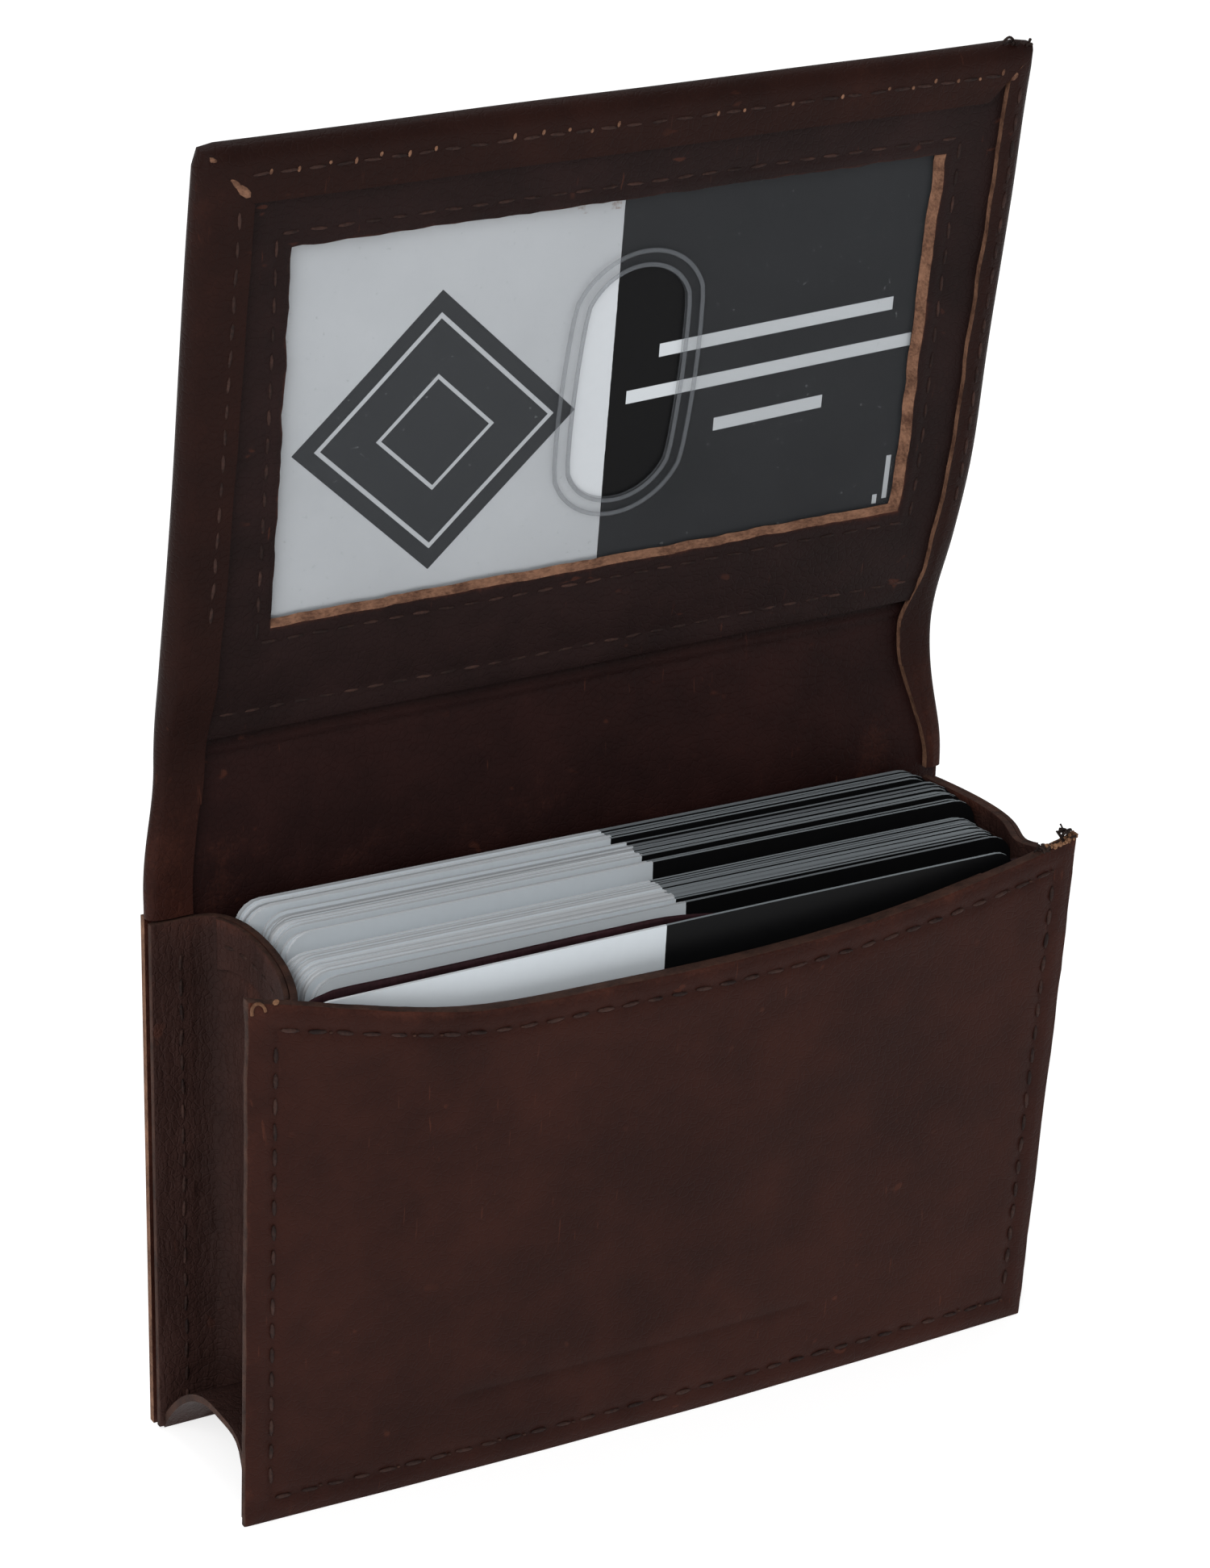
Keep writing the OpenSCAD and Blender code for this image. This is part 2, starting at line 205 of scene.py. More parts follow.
class Recipe:
    """Writes the nodes of one material."""

    def __init__(self, name: str) -> None:
        """Start a material with only its output.

        Args:
            name: The material's name.
        """
        self.material = bpy.data.materials.new(name)
        self.material.use_nodes = True
        self.tree = self.material.node_tree
        self.tree.nodes.clear()
        self.output = self.tree.nodes.new("ShaderNodeOutputMaterial")

    def node(self, kind: str, settings: dict, inputs: dict) -> bpy.types.Node:
        """Add one node.

        Args:
            kind: The node's type.
            settings: Properties, which are set first.
            inputs: Values or wires by socket name or number.

        Returns:
            The new node.
        """
        made = self.tree.nodes.new(kind)
        for key, value in settings.items():
            setattr(made, key, value)
        for key, value in inputs.items():
            socket = made.inputs[key]
            if isinstance(value, Wire):
                self.tree.links.new(value.socket, socket)
            else:
                socket.default_value = value
        return made

    def sum(self, operation: str, a: Union[Wire, Number], b: Union[Wire, Number]) -> Wire:
        """Return the wire of one Math node on a and b."""
        made = self.node("ShaderNodeMath", {"operation": operation}, {0: a, 1: b})
        return Wire(self, made.outputs[0])

    def place(self, turn: tuple = (0.0, 0.0, 0.0), scale: tuple = (1.0, 1.0, 1.0)) -> Wire:
        """Return object coordinates, turned and scaled.

        Args:
            turn: Turn about the three axes in radians.
            scale: Scale along the three axes.

        Returns:
            The wire of the coordinates.
        """
        coords = self.node("ShaderNodeTexCoord", {}, {})
        made = self.node("ShaderNodeMapping", {},
                         {"Vector": Wire(self, coords.outputs["Object"]), "Rotation": turn, "Scale": scale})
        return Wire(self, made.outputs[0])

    def speckle(self, where: Wire, scale: float, detail: float = 2.0, rough: float = 0.5) -> Wire:
        """Return a noise value from about 0.2 to 0.8.

        Args:
            where: Coordinates to read.
            scale: Waves in a metre.
            detail: Octaves of finer noise.
            rough: Strength of each finer octave.

        Returns:
            The wire of the noise.
        """
        made = self.node("ShaderNodeTexNoise", {"noise_dimensions": "3D"},
                         {"Vector": where, "Scale": scale, "Detail": detail, "Roughness": rough})
        return Wire(self, made.outputs["Fac"])

    def cells(self, where: Wire, scale: float, feature: str = "F1") -> Wire:
        """Return the distance output of a Voronoi pattern."""
        made = self.node("ShaderNodeTexVoronoi", {"feature": feature}, {"Vector": where, "Scale": scale})
        return Wire(self, made.outputs["Distance"])

    def marked(self, name: str) -> Wire:
        """Return the piece's own attribute as a number."""
        made = self.node("ShaderNodeAttribute", {"attribute_name": name}, {})
        return Wire(self, made.outputs["Fac"])

    def blended(self, share: Union[Wire, Number], a: object, b: object) -> Wire:
        """Return a colour the given share of the way from a to b."""
        made = self.node("ShaderNodeMix", {"data_type": "RGBA", "clamp_factor": True}, {0: share, 6: a, 7: b})
        return Wire(self, made.outputs[2])

    def raised(self, height: Wire, strength: float, reach: float) -> Wire:
        """Return a bumped normal from a height that reaches the given number of metres."""
        made = self.node("ShaderNodeBump", {}, {"Height": height, "Strength": strength, "Distance": reach})
        return Wire(self, made.outputs[0])

    def surface(self, **inputs: object) -> Material:
        """Close the material with one principled shader.

        Args:
            **inputs: Socket values with underscores for spaces.

        Returns:
            The material.
        """
        named = {key.replace("_", " "): value for key, value in inputs.items()}
        shader = self.node("ShaderNodeBsdfPrincipled", {}, named)
        self.tree.links.new(shader.outputs[0], self.output.inputs[0])
        return self.material


# ---------- finishes ----------


@dataclass(frozen=True)
class LeatherFinish:
    """Smooth dyed cowhide with fine grain, cloudy colour, faint scratches, worn rims and painted shade."""

    name: str
    deep: tuple
    light: tuple
    worn: tuple = tint(92, 52, 39)
    rough: float = 0.52
    grain: float = 0.5
    scratches: float = 0.35
    folds: float = 0.0

    def make(self) -> Material:
        """Return the material.

        Returns:
            The leather material.
        """
        r = Recipe(self.name)
        where = r.place()
        broad = r.speckle(where, 38.0, 3.0, 0.55)
        cloud = r.speckle(where, 170.0, 4.0, 0.6)
        pores = r.speckle(where, 2600.0, 3.0, 0.6)
        creases = r.cells(where, 1150.0, "DISTANCE_TO_EDGE")
        share = (broad * 0.9 + cloud * 0.7 - 0.3).between(0.2, 0.85)
        colour = r.blended(share, self.deep, self.light)
        fine = (pores * 1.0).between(0.35, 0.7)
        colour = r.blended(fine * 0.16, colour, self.light)
        along = r.place((0.5, 0.3, 0.9), (260.0, 2400.0, 260.0))
        across = r.place((-0.4, 1.1, -0.5), (2600.0, 240.0, 240.0))
        hair = r.speckle(along, 1.0, 2.0).between(0.69, 0.74)
        hair = hair.most(r.speckle(across, 1.0, 2.0).between(0.70, 0.75))
        patch = r.speckle(where, 60.0, 2.0).between(0.42, 0.62)
        hair = hair * patch * self.scratches
        colour = r.blended(hair, colour, self.worn)
        wear = r.marked("wear")
        rub = (wear * 1.1 + cloud * 0.9 + pores * 0.5 - 1.0).between(0.0, 0.9)
        colour = r.blended(rub * 0.75, colour, self.worn)
        # Painted shade: the shade attribute darkens the leather towards a near black brown in creases,
        # corners, recesses and up the spine and flap.
        dark = r.marked("shade")
        colour = r.blended(dark * 0.7, colour, tint(16, 10, 9))
        rough = self.rough + cloud * 0.16 - 0.08 + hair * 0.15 + rub * 0.1
        height = creases.between(0.0, 0.12) * 0.6 + pores * 0.7 + cloud * 1.6 - hair * 0.5
        if self.folds:
            wrinkle = r.speckle(r.place((0.0, 0.12, 0.0), (420.0, 420.0, 110.0)), 1.0, 4.0, 0.65)
            height = height + abs(wrinkle - 0.5) * self.folds
        normal = r.raised(height, self.grain, 0.00011)
        return r.surface(
            Base_Color=colour,
            Roughness=rough,
            Normal=normal,
            Specular_IOR_Level=0.065,
        )


@dataclass(frozen=True)
class RawEdgeFinish:
    """The fibrous cut edge of leather."""

    name: str
    deep: tuple = tint(84, 52, 38)
    light: tuple = tint(150, 106, 78)

    def make(self) -> Material:
        """Return the material.

        Returns:
            The cut-edge material.
        """
        r = Recipe(self.name)
        where = r.place()
        fibre = r.speckle(r.place((0.0, 0.2, 0.0), (1800.0, 5200.0, 2600.0)), 1.0, 4.0, 0.7)
        patch = r.speckle(where, 420.0, 3.0)
        share = (fibre * 0.9 + patch * 0.9 - 0.4).between(0.15, 0.85)
        colour = r.blended(share, self.deep, self.light)
        normal = r.raised(fibre * 1.0 + patch * 0.8, 0.8, 0.0002)
        return r.surface(Base_Color=colour, Roughness=0.8 + fibre * 0.15, Normal=normal,
                         Specular_IOR_Level=0.2)


@dataclass(frozen=True)
class ClothFinish:
    """The thin plum-brown cloth-backed leather of the pocket divider."""

    name: str
    deep: tuple = tint(31, 16, 19)
    light: tuple = tint(50, 27, 32)

    def make(self) -> Material:
        """Return the material.

        Returns:
            The cloth material.
        """
        r = Recipe(self.name)
        where = r.place()
        warp = r.speckle(r.place((0.0, 0.0, 0.0), (3200.0, 3200.0, 500.0)), 1.0, 2.0)
        weft = r.speckle(r.place((0.0, 0.0, 0.0), (500.0, 500.0, 3200.0)), 1.0, 2.0)
        cloud = r.speckle(where, 160.0, 3.0)
        share = (warp * 0.5 + weft * 0.5 + cloud * 0.5 - 0.25).between(0.2, 0.8)
        colour = r.blended(share, self.deep, self.light)
        normal = r.raised(warp * 1.0 + weft * 1.0, 0.45, 0.00012)
        return r.surface(Base_Color=colour, Roughness=0.62 + cloud * 0.15, Normal=normal,
                         Specular_IOR_Level=0.12)


@dataclass(frozen=True)
class ThreadFinish:
    """Twisted sewing thread."""

    name: str
    deep: tuple = tint(42, 28, 25)
    light: tuple = tint(86, 60, 52)

    def make(self) -> Material:
        """Return the material.

        Returns:
            The thread material.
        """
        r = Recipe(self.name)
        twist = r.speckle(r.place((0.3, 0.6, 0.2), (3000.0, 3000.0, 3000.0)), 1.0, 3.0)
        each = r.speckle(r.place(), 300.0, 1.0)
        share = (twist * 0.7 + each * 0.9 - 0.35).between(0.2, 0.8)
        colour = r.blended(share, self.deep, self.light)
        normal = r.raised(twist * 1.0, 0.6, 0.0001)
        return r.surface(Base_Color=colour, Roughness=0.6 + twist * 0.2, Normal=normal,
                         Specular_IOR_Level=0.15)


@dataclass(frozen=True)
class ClearFinish:
    """Thin clear vinyl, slightly hazy and dusty; its grey colour also paints a faint reflection and, on the
    ridges, thin highlights.
    """

    name: str
    haze_and_painted_sheen: tuple = tint(96, 99, 103)
    cover: float = 0.1

    def make(self) -> Material:
        """Return the material.

        Returns:
            The clear material.
        """
        r = Recipe(self.name)
        where = r.place()
        dust = r.speckle(where, 1900.0, 2.0).between(0.7, 0.76)
        cloud = r.speckle(where, 60.0, 3.0)
        ripple = r.speckle(where, 90.0, 2.0)
        normal = r.raised(ripple * 1.0, 0.04, 0.0002)
        # The grey base colour, shown by the alpha, is partly the vinyl's hazy tint and partly a painted
        # reflection.
        made = r.surface(
            Base_Color=r.blended(dust, self.haze_and_painted_sheen, tint(150, 153, 156)),
            Roughness=0.16 + cloud * 0.12,
            Alpha=self.cover * 0.7 + cloud * self.cover * 0.6 + dust * 0.12,
            Normal=normal,
            Specular_IOR_Level=0.06,
        )
        made.surface_render_method = "BLENDED"
        return made


class Print(Enum):
    """What is printed on a card's face."""

    HALVES = "halves"
    WINDOW = "window"


@dataclass(frozen=True)
class CardFinish:
    """A coated card printed light on its left half and dark on its right half."""

    name: str
    design: Print
    pale: tuple = tint(214, 221, 226)
    black: tuple = tint(14, 14, 15)
    ink: tuple = tint(46, 48, 50)

    def device(self, side: Wire, rise: Wire) -> tuple[Wire, Wire]:
        """Write the plain shapes of the window card.

        Args:
            side: Millimetres right of the card's middle.
            rise: Millimetres above the card's lower edge.

        Returns:
            A mask of the dark shape and a mask of the light shapes.
        """
        dx = abs(side + 21.0)
        dz = abs(rise - 23.0)
        lozenge = dx + dz
        line = (lozenge < 14.2) * (lozenge > 13.5)
        core = (lozenge < 7.0) * (lozenge > 6.4)
        dark = (lozenge < 16.8) * (1.0 - line) * (1.0 - core)
        light = None
        for middle, height, half in ((20.7, 29.1, 14.9), (20.3, 24.1, 18.2), (20.5, 18.5, 7.0)):
            bar = (abs(side - middle) < half) * (abs(rise - side * 0.041 + (0.84 - height)) < 0.8)
            light = bar if light is None else light.most(bar)
        for middle, height, tall, half in ((37.5, 7.4, 2.8, 0.32), (36.2, 4.7, 0.6, 0.3)):
            tick = (abs(side - middle) < half) * (abs(rise - height) < tall)
            light = light.most(tick * 0.9)
        return dark, light

    def make(self) -> Material:
        """Return the material.

        Returns:
            The printed material.
        """
        r = Recipe(self.name)
        where = r.place()
        side = r.marked("side")
        rise = r.marked("rise")
        fine = r.speckle(where, 900.0, 3.0)
        broad = r.speckle(where, 50.0, 2.0)
        wobble = (r.speckle(where, 700.0, 2.0) - 0.5) * 0.1
        right = ((side + wobble) > 0.0) * 1.0
        pale = r.blended(fine * 0.12 + broad * 0.12, self.pale, tint(168, 175, 182))
        black = r.blended(fine * 0.06, self.black, self.ink)
        colour = r.blended(right, pale, black)
        if self.design is Print.WINDOW:
            dark, light = self.device(side, rise)
            colour = r.blended(dark * (1.0 - right), colour, self.ink)
            colour = r.blended(light * right, colour, tint(205, 210, 214))
            stain = (r.speckle(where, 520.0, 4.0, 0.7)).between(0.5, 0.66)
            spot = (abs(side + 3.6) < 3.2) * (abs(rise - 47.2) < 1.0)
            colour = r.blended(stain * spot * 0.7, colour, tint(150, 128, 112))
        rough = 0.3 + fine * 0.12 + (1.0 - right) * 0.1
        normal = r.raised(fine * 1.0, 0.02, 0.00001)
        return r.surface(Base_Color=colour, Roughness=rough, Normal=normal, Specular_IOR_Level=0.07)


@dataclass(frozen=True)
class CardEdgeFinish:
    """The cut edge of a card, greyer where dark ink bleeds over it."""

    name: str
    left: tuple = tint(210, 214, 218)
    right: tuple = tint(132, 139, 143)

    def make(self) -> Material:
        """Return the material.

        Returns:
            The card's cut-edge material.
        """
        r = Recipe(self.name)
        where = r.place((0.0, 0.0, 0.0), (300.0, 9000.0, 300.0))
        fibre = r.speckle(where, 1.0, 3.0, 0.6)
        tone = r.marked("tone")
        share = (r.marked("side") > 0.0) * 1.0
        colour = r.blended(share, self.left, self.right)
        colour = r.blended(tone * 0.75 * (0.75 + share * 0.25), colour, tint(96, 100, 104))
        colour = r.blended(fibre.between(0.55, 0.75) * 0.3, colour, tint(110, 112, 115))
        return r.surface(Base_Color=colour, Roughness=0.72 + fibre * 0.1, Specular_IOR_Level=0.12)


@dataclass(frozen=True)
class FloorFinish:
    """Matt pale studio floor."""

    name: str = "studio_floor"

    def make(self) -> Material:
        """Return the material.

        Returns:
            The floor material.
        """
        r = Recipe(self.name)
        cloud = r.speckle(r.place(), 3.0, 2.0)
        colour = r.blended(cloud * 0.1, tint(196, 196, 196), tint(190, 190, 191))
        return r.surface(
            Base_Color=colour,
            Roughness=0.9,
            Specular_IOR_Level=0.1,
            Emission_Color=(1.0, 1.0, 1.0, 1.0),
            Emission_Strength=0.72,
        )


class Palette:
    """All the finishes of the case, made once."""

    def __init__(self) -> None:
        """Make every material."""
        self.outer = LeatherFinish("outer_leather", tint(38, 18, 14), tint(54, 28, 22)).make()
        self.inner = LeatherFinish("inner_leather", tint(28, 14, 13), tint(43, 23, 21), rough=0.5).make()
        self.gusset = LeatherFinish("gusset_leather", tint(43, 28, 25), tint(61, 41, 37), grain=0.75,
                                    folds=7.0).make()
        self.frame = LeatherFinish("frame_leather", tint(26, 16, 15), tint(39, 25, 24)).make()
        self.raw = RawEdgeFinish("raw_edge", tint(70, 45, 34), tint(142, 104, 82)).make()
        self.dull = RawEdgeFinish("dull_edge", tint(40, 26, 22), tint(78, 52, 42)).make()
        self.divider = ClothFinish("divider_cloth").make()
        self.thread = ThreadFinish("thread", tint(30, 19, 17), tint(66, 45, 39)).make()
        self.tan_thread = ThreadFinish("tan_thread", tint(92, 63, 45), tint(146, 108, 80)).make()
        self.dark_thread = ThreadFinish("dark_thread", tint(26, 18, 16), tint(52, 38, 33)).make()
        self.clear = ClearFinish("clear_sheet").make()
        # The ridges' lighter, more opaque grey paints their thin highlights.
        self.ridge = ClearFinish("clear_ridge", tint(128, 132, 137), 0.26).make()
        self.card = CardFinish("printed_card", Print.HALVES).make()
        self.window_card = CardFinish("window_print", Print.WINDOW, tint(206, 210, 214),
                                      tint(13, 13, 14)).make()
        self.card_edge = CardEdgeFinish("card_edge").make()


# ---------- sizes and places ----------


@dataclass(frozen=True)
class CaseSizes:
    """Sizes of the case in millimetres, as the solids have them."""

    width: float = 103.0
    height: float = 64.0
    leather: float = 1.1
    gusset_height: float = 62.5
    arch_height: float = 9.6
    crease: float = 84.0
    mid_spine: float = 75.5
    flap_height: float = 68.0
    flap_half: float = 49.5
    dip: float = 5.5
    seam: float = 3.0
    pitch: float = 3.0
    slack: float = 1.1
    spine_set: float = 0.95


class CasePlaces:
    """Turns sizes on the case into points of the shared frame."""

    def __init__(self, sizes: CaseSizes) -> None:
        """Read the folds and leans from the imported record.

        Args:
            sizes: The case's sizes.
        """
        self.sizes = sizes
        joints = {j["name"]: j for j in frame["joints"]}
        self.front_foot = joints["front_swing"]["pos_m"][1] / MM
        lift = Vector(joints["spare_card_lift"]["axis"])
        self.front_up = lift.normalized()
        self.front_in = Vector((0.0, lift.z, -lift.y)).normalized()
        slide = Vector(joints["id_card_slide"]["axis"])
        self.lean = math.atan2(-slide.y, slide.z)
        self.back_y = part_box("back_panel")[1].y / MM + sizes.slack
        self.lower_fold = joints["spine_fold"]["pos_m"]
        self.curve = self._curve()

    def _curve(self) -> list[tuple[float, float, float]]:
        """Return y, z and lean of the back's outer face every quarter of a millimetre from the bend's start.

        Returns:
            One tuple for each step up the bend.
        """
        points = []
        y, z, start, step = self.back_y, self.sizes.crease - 6.0, self.sizes.crease - 6.0, 0.25
        for i in range(int(12.0 / step) + 1):
            angle = self.lean * ease((i * step) / 12.0)
            points.append((y, z, angle))
            middle = self.lean * ease(((i + 0.5) * step) / 12.0)
            y -= math.sin(middle) * step
            z += math.cos(middle) * step
        self.curve_start = start
        self.curve_step = step
        return points

    def case(self, x: float, y: float, z: float) -> Vector:
        """Return a point of the upright case, y measured inwards from the front's foot."""
        return Vector((x, y + self.front_foot, z)) * MM

    def front_bulge(self, x: float, u: float) -> float:
        """Return how far the front panel bows outwards."""
        across = max(0.0, 1.0 - (x / 51.5) ** 2)
        return across * (2.5 * ease(u / 60.0) + 1.0 * (1.0 - ease(u / 60.0))) + 0.16 * drift(x, u, 3.1, 17.0)

    def front(self, x: float, u: float, n: float, bow: float = 1.0) -> Vector:
        """Return a point of the leaning front.

        Args:
            x: Millimetres right of the middle.
            u: Millimetres up the front.
            n: Millimetres inwards from its outer face.
            bow: Share of the front panel's bulge that the point has.

        Returns:
            The point in metres.
        """
        depth = n - bow * self.front_bulge(x, u)
        foot = Vector((x, self.front_foot, 0.0))
        return (foot + self.front_up * u + self.front_in * depth) * MM

    def half(self, v: float) -> float:
        """Return the half width of the back, spine and flap at a height."""
        top = self.sizes.flap_half
        return top + 1.9 * ease((81.0 - v) / 16.0)

    def outlined(self, x: float, v: float) -> tuple[float, float]:
        """Return a flat point of the back's line with the flap's uneven outline and round corners.

        Args:
            x: Millimetres right of the middle.
            v: Millimetres up the line from the floor.

        Returns:
            The moved x and v.
        """
        if x > 0.0:
            gain = 1.3 * bell(v - 101.0, 13.0) + 0.5 * bell(v - 124.0, 16.0) - 0.4 * ease((v - 134.0) / 16.0)
            gain -= 0.4 * bell(v - 73.0, 6.0)
        else:
            gain = 0.5 * ease((v - 110.0) / 35.0)
        x += gain * (x / 50.0) ** 3
        v += 0.4 * ease((v - 140.0) / 12.0)
        reach = 1.7
        a = abs(x) - (self.half(v) - reach)
        b = v - (self.sizes.crease + self.sizes.flap_height + 0.4 - reach)
        if a > 0.0 and b > 0.0:
            share = max(a, b) / math.hypot(a, b)
            x -= math.copysign(a * (1.0 - share), x)
            v -= b * (1.0 - share)
        return x, v

    def back(self, x: float, v: float, n: float) -> Vector:
        """Return a point of the back, the spine or the flap, all on one bent line.

        Args:
            x: Millimetres right of the middle.
            v: Millimetres up the line from the floor.
            n: Millimetres inwards from the outer face.

        Returns:
            The point in metres.
        """
        x, v = self.outlined(x, v)
        v = v + 0.0243 * x * ease((v - 68.0) / 15.0)
        n = n + 0.28 * drift(x, v, 7.3, 26.0) * ease((v - 60.0) / 20.0)
        if v <= self.curve_start:
            y, z, angle = self.back_y, v, 0.0
        else:
            t = (v - self.curve_start) / self.curve_step
            i = min(int(t), len(self.curve) - 1)
            y, z, angle = self.curve[i]
            over = (t - i) * self.curve_step
            y -= math.sin(angle) * over
            z += math.cos(angle) * over
        y += self.sizes.spine_set * ease((v - 63.0) / 17.0)
        z += 0.3 * ease((v - 80.0) / 12.0)
        return Vector((x, y - n * math.cos(angle), z - n * math.sin(angle))) * MM


# ---------- making meshes ----------


@dataclass
class Follow:
    """What a piece moves with: one body, or two bodies and the zone between them."""

    body: str
    other: str = ""
    start: Vector = field(default_factory=Vector)
    end: Vector = field(default_factory=Vector)

    def apply(self, piece: Object) -> None:
        """Make the piece ride on its body or bend between two.

        Args:
            piece: The piece.
        """
        if self.other:
            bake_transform(piece, self.body, self.other, self.start, self.end)
        else:
            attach(piece, self.body)


class Mesher:
    """Shapes leather pieces with bmesh operators."""

    @staticmethod
    def fresh() -> BMesh:
        """Return an empty mesh with the layers that the pieces carry.

        Returns:
            The empty mesh.
        """
        bm = bmesh.new()
        bm.verts.layers.float_vector.new("param")
        bm.verts.layers.int.new("rule")
        # The shade layer holds painted shade, which darkens the leather's colour.
        for name in ("wear", "shade", "side", "rise", "tone"):
            bm.verts.layers.float.new(name)
        return bm

    @staticmethod
    def grid(bm: BMesh, xs: Sequence[float], vs: Sequence[float]) -> list[BMVert]:
        """Add a flat grid whose lines stand at the given places.

        Args:
            bm: The mesh to add to.
            xs: Places across.
            vs: Places along.

        Returns:
            The new vertices; their "param" layer holds the places.
        """
        param = bm.verts.layers.float_vector["param"]
        nx, nv = len(xs) - 1, len(vs) - 1
        made = bmesh.ops.create_grid(bm, x_segments=nx, y_segments=nv, size=0.5)["verts"]
        for vert in made:
            vert[param] = (xs[round((vert.co.x + 0.5) * nx)], vs[round((vert.co.y + 0.5) * nv)], 0.0)
        return made

    @staticmethod
    def lay(bm: BMesh, place: Place, layer: float, verts: Iterable[BMVert]) -> None:
        """Put vertices where the place says, and note which face of the leather they are on.

        Args:
            bm: The mesh.
            place: Turns two places and a layer into a point.
            layer: 0 on the outer face, 1 on the inner.
            verts: The vertices to put in place.
        """
        param = bm.verts.layers.float_vector["param"]
        for vert in verts:
            x, v, _ = vert[param]
            vert[param] = (x, v, layer)
            vert.co = place(x, v, layer)

    @staticmethod
    def extruded(bm: BMesh, faces: Iterable[BMFace]) -> list[BMVert]:
        """Extrude faces in place and return the new vertices."""
        made = bmesh.ops.extrude_face_region(bm, geom=list(faces))
        return [g for g in made["geom"] if isinstance(g, BMVert)]

    @staticmethod
    def mark_rims(bm: BMesh, inner: Iterable[BMVert]) -> None:
        """Give the faces between the inner and the outer vertices the cut-edge material.

        Args:
            bm: The mesh.
            inner: The vertices of its inner face.
        """
        inner = set(inner)
        for face in bm.faces:
            if 0 < sum(v in inner for v in face.verts) < len(face.verts):
                face.material_index = 1
        bmesh.ops.recalc_face_normals(bm, faces=bm.faces[:])

    @staticmethod
    def round_corners(bm: BMesh, corners: Sequence[BMVert], radius: float, steps: int) -> None:
        """Round the corners of a flat sheet.

        Args:
            bm: The mesh.
            corners: The corner vertices.
            radius: Radius in millimetres.
            steps: Edges along each round.
        """
        bmesh.ops.bevel(bm, geom=corners, offset=radius * MM, offset_type="OFFSET", segments=steps,
                        profile=0.5, affect="VERTICES", material=-1, clamp_overlap=True)

    @staticmethod
    def thicken(bm: BMesh, place: Place, rim: float, steps: int = 2) -> None:
        """Give an open sheet its inner face and rims, and round the rims.

        Args:
            bm: The open sheet, on its outer face.
            place: Puts a point on layer 0, outside, or layer 1, inside.
            rim: Radius of the rims in millimetres, or 0 to leave them square.
            steps: Faces across a rounded rim.
        """
        fresh = Mesher.extruded(bm, bm.faces)
        Mesher.lay(bm, place, 1.0, fresh)
        Mesher.mark_rims(bm, fresh)
        if rim > 0.0:
            pairs = [(e, e.link_faces) for e in bm.edges if len(e.link_faces) == 2]
            rims = [e for e, (a, b) in pairs if a.material_index != b.material_index]
            Mesher.round_rims(bm, rims, rim, steps)

    @staticmethod
    def round_rims(bm: BMesh, rims: Sequence[BMEdge], radius: float, steps: int) -> None:
        """Round the rims of a thick sheet.

        Args:
            bm: The mesh.
            rims: The edges to round.
            radius: Radius in millimetres.
            steps: Faces across each round.
        """
        bmesh.ops.bevel(bm, geom=rims, offset=radius * MM, offset_type="OFFSET", segments=steps, profile=0.5,
                        affect="EDGES", material=-1, clamp_overlap=True)

    @staticmethod
    def mark(bm: BMesh, name: str, rule: Callable[[Vector], float]) -> None:
        """Write a number on each vertex from its param.

        Args:
            bm: The mesh.
            name: The layer's name.
            rule: Gives the number for a param.
        """
        layer = bm.verts.layers.float[name]
        param = bm.verts.layers.float_vector["param"]
        for vert in bm.verts:
            vert[layer] = rule(vert[param])

    @staticmethod
    def tube(bm: BMesh, points: Sequence[Vector], radius: float, sides: int = 6) -> None:
        """Add a thin round strand along points.

        Args:
            bm: The mesh to add to.
            points: Points in metres.
            radius: Radius in metres.
            sides: Sides of its section.
        """
        heading = (points[1] - points[0]).normalized()
        turn = heading.to_track_quat("Z", "Y").to_matrix().to_4x4()
        ring = bmesh.ops.create_circle(
            bm, cap_ends=True, segments=sides, radius=radius, matrix=Matrix.Translation(points[0]) @ turn
        )["verts"]
        face = next(f for f in ring[0].link_faces)
        for i in range(1, len(points)):
            step = bmesh.ops.extrude_face_region(bm, geom=[face])
            fresh = [g for g in step["geom"] if isinstance(g, BMVert)]
            cap = next(g for g in step["geom"] if isinstance(g, BMFace))
            if i > 1:
                bmesh.ops.delete(bm, geom=[face], context="FACES_ONLY")
            ahead = points[min(i + 1, len(points) - 1)] - points[i - 1]
            back = points[i] - points[max(i - 2, 0)]
            bend = back.normalized().rotation_difference(ahead.normalized()) if i > 1 else None
            bmesh.ops.translate(bm, verts=fresh, vec=points[i] - points[i - 1])
            if bend is not None:
                bmesh.ops.rotate(bm, verts=fresh, cent=points[i], matrix=bend.to_matrix())
            face = cap
        bmesh.ops.recalc_face_normals(bm, faces=bm.faces[:])

    @staticmethod
    def to_object(
        bm: BMesh, name: str, materials: Sequence[Material], crease: float = 40.0
    ) -> Object:
        """Turn a finished mesh into an object at the origin.

        Args:
            bm: The mesh, which is freed.
            name: The object's name.
            materials: Its materials in order.
            crease: Degrees past which an edge stays sharp.

        Returns:
            The new object.
        """
        mesh = bpy.data.meshes.new(name)
        bm.to_mesh(mesh)
        bm.free()
        mesh.shade_smooth()
        mesh.set_sharp_from_angle(angle=math.radians(crease))
        for material in materials:
            mesh.materials.append(material)
        piece = bpy.data.objects.new(name, mesh)
        bpy.context.scene.collection.objects.link(piece)
        return piece


@dataclass
class Sheet:
    """One piece of leather or card, laid out flat and then put in place."""

    name: str
    xs: Sequence[float]
    vs: Sequence[float]
    place: Place
    rim: float = 0.25
    wear: Callable[[Vector], float] = lambda p: 0.0
    # shade gives each point's painted shade.
    shade: Callable[[Vector], float] = lambda p: 0.0

    def build(self, materials: Sequence[Material]) -> Object:
        """Return the finished piece.

        Args:
            materials: Its face material and its cut-edge material.

        Returns:
            The new object.
        """
        bm = Mesher.fresh()
        Mesher.lay(bm, self.place, 0.0, Mesher.grid(bm, self.xs, self.vs))
        Mesher.thicken(bm, self.place, self.rim)
        Mesher.mark(bm, "wear", self.wear)
        Mesher.mark(bm, "shade", self.shade)
        return Mesher.to_object(bm, self.name, materials)


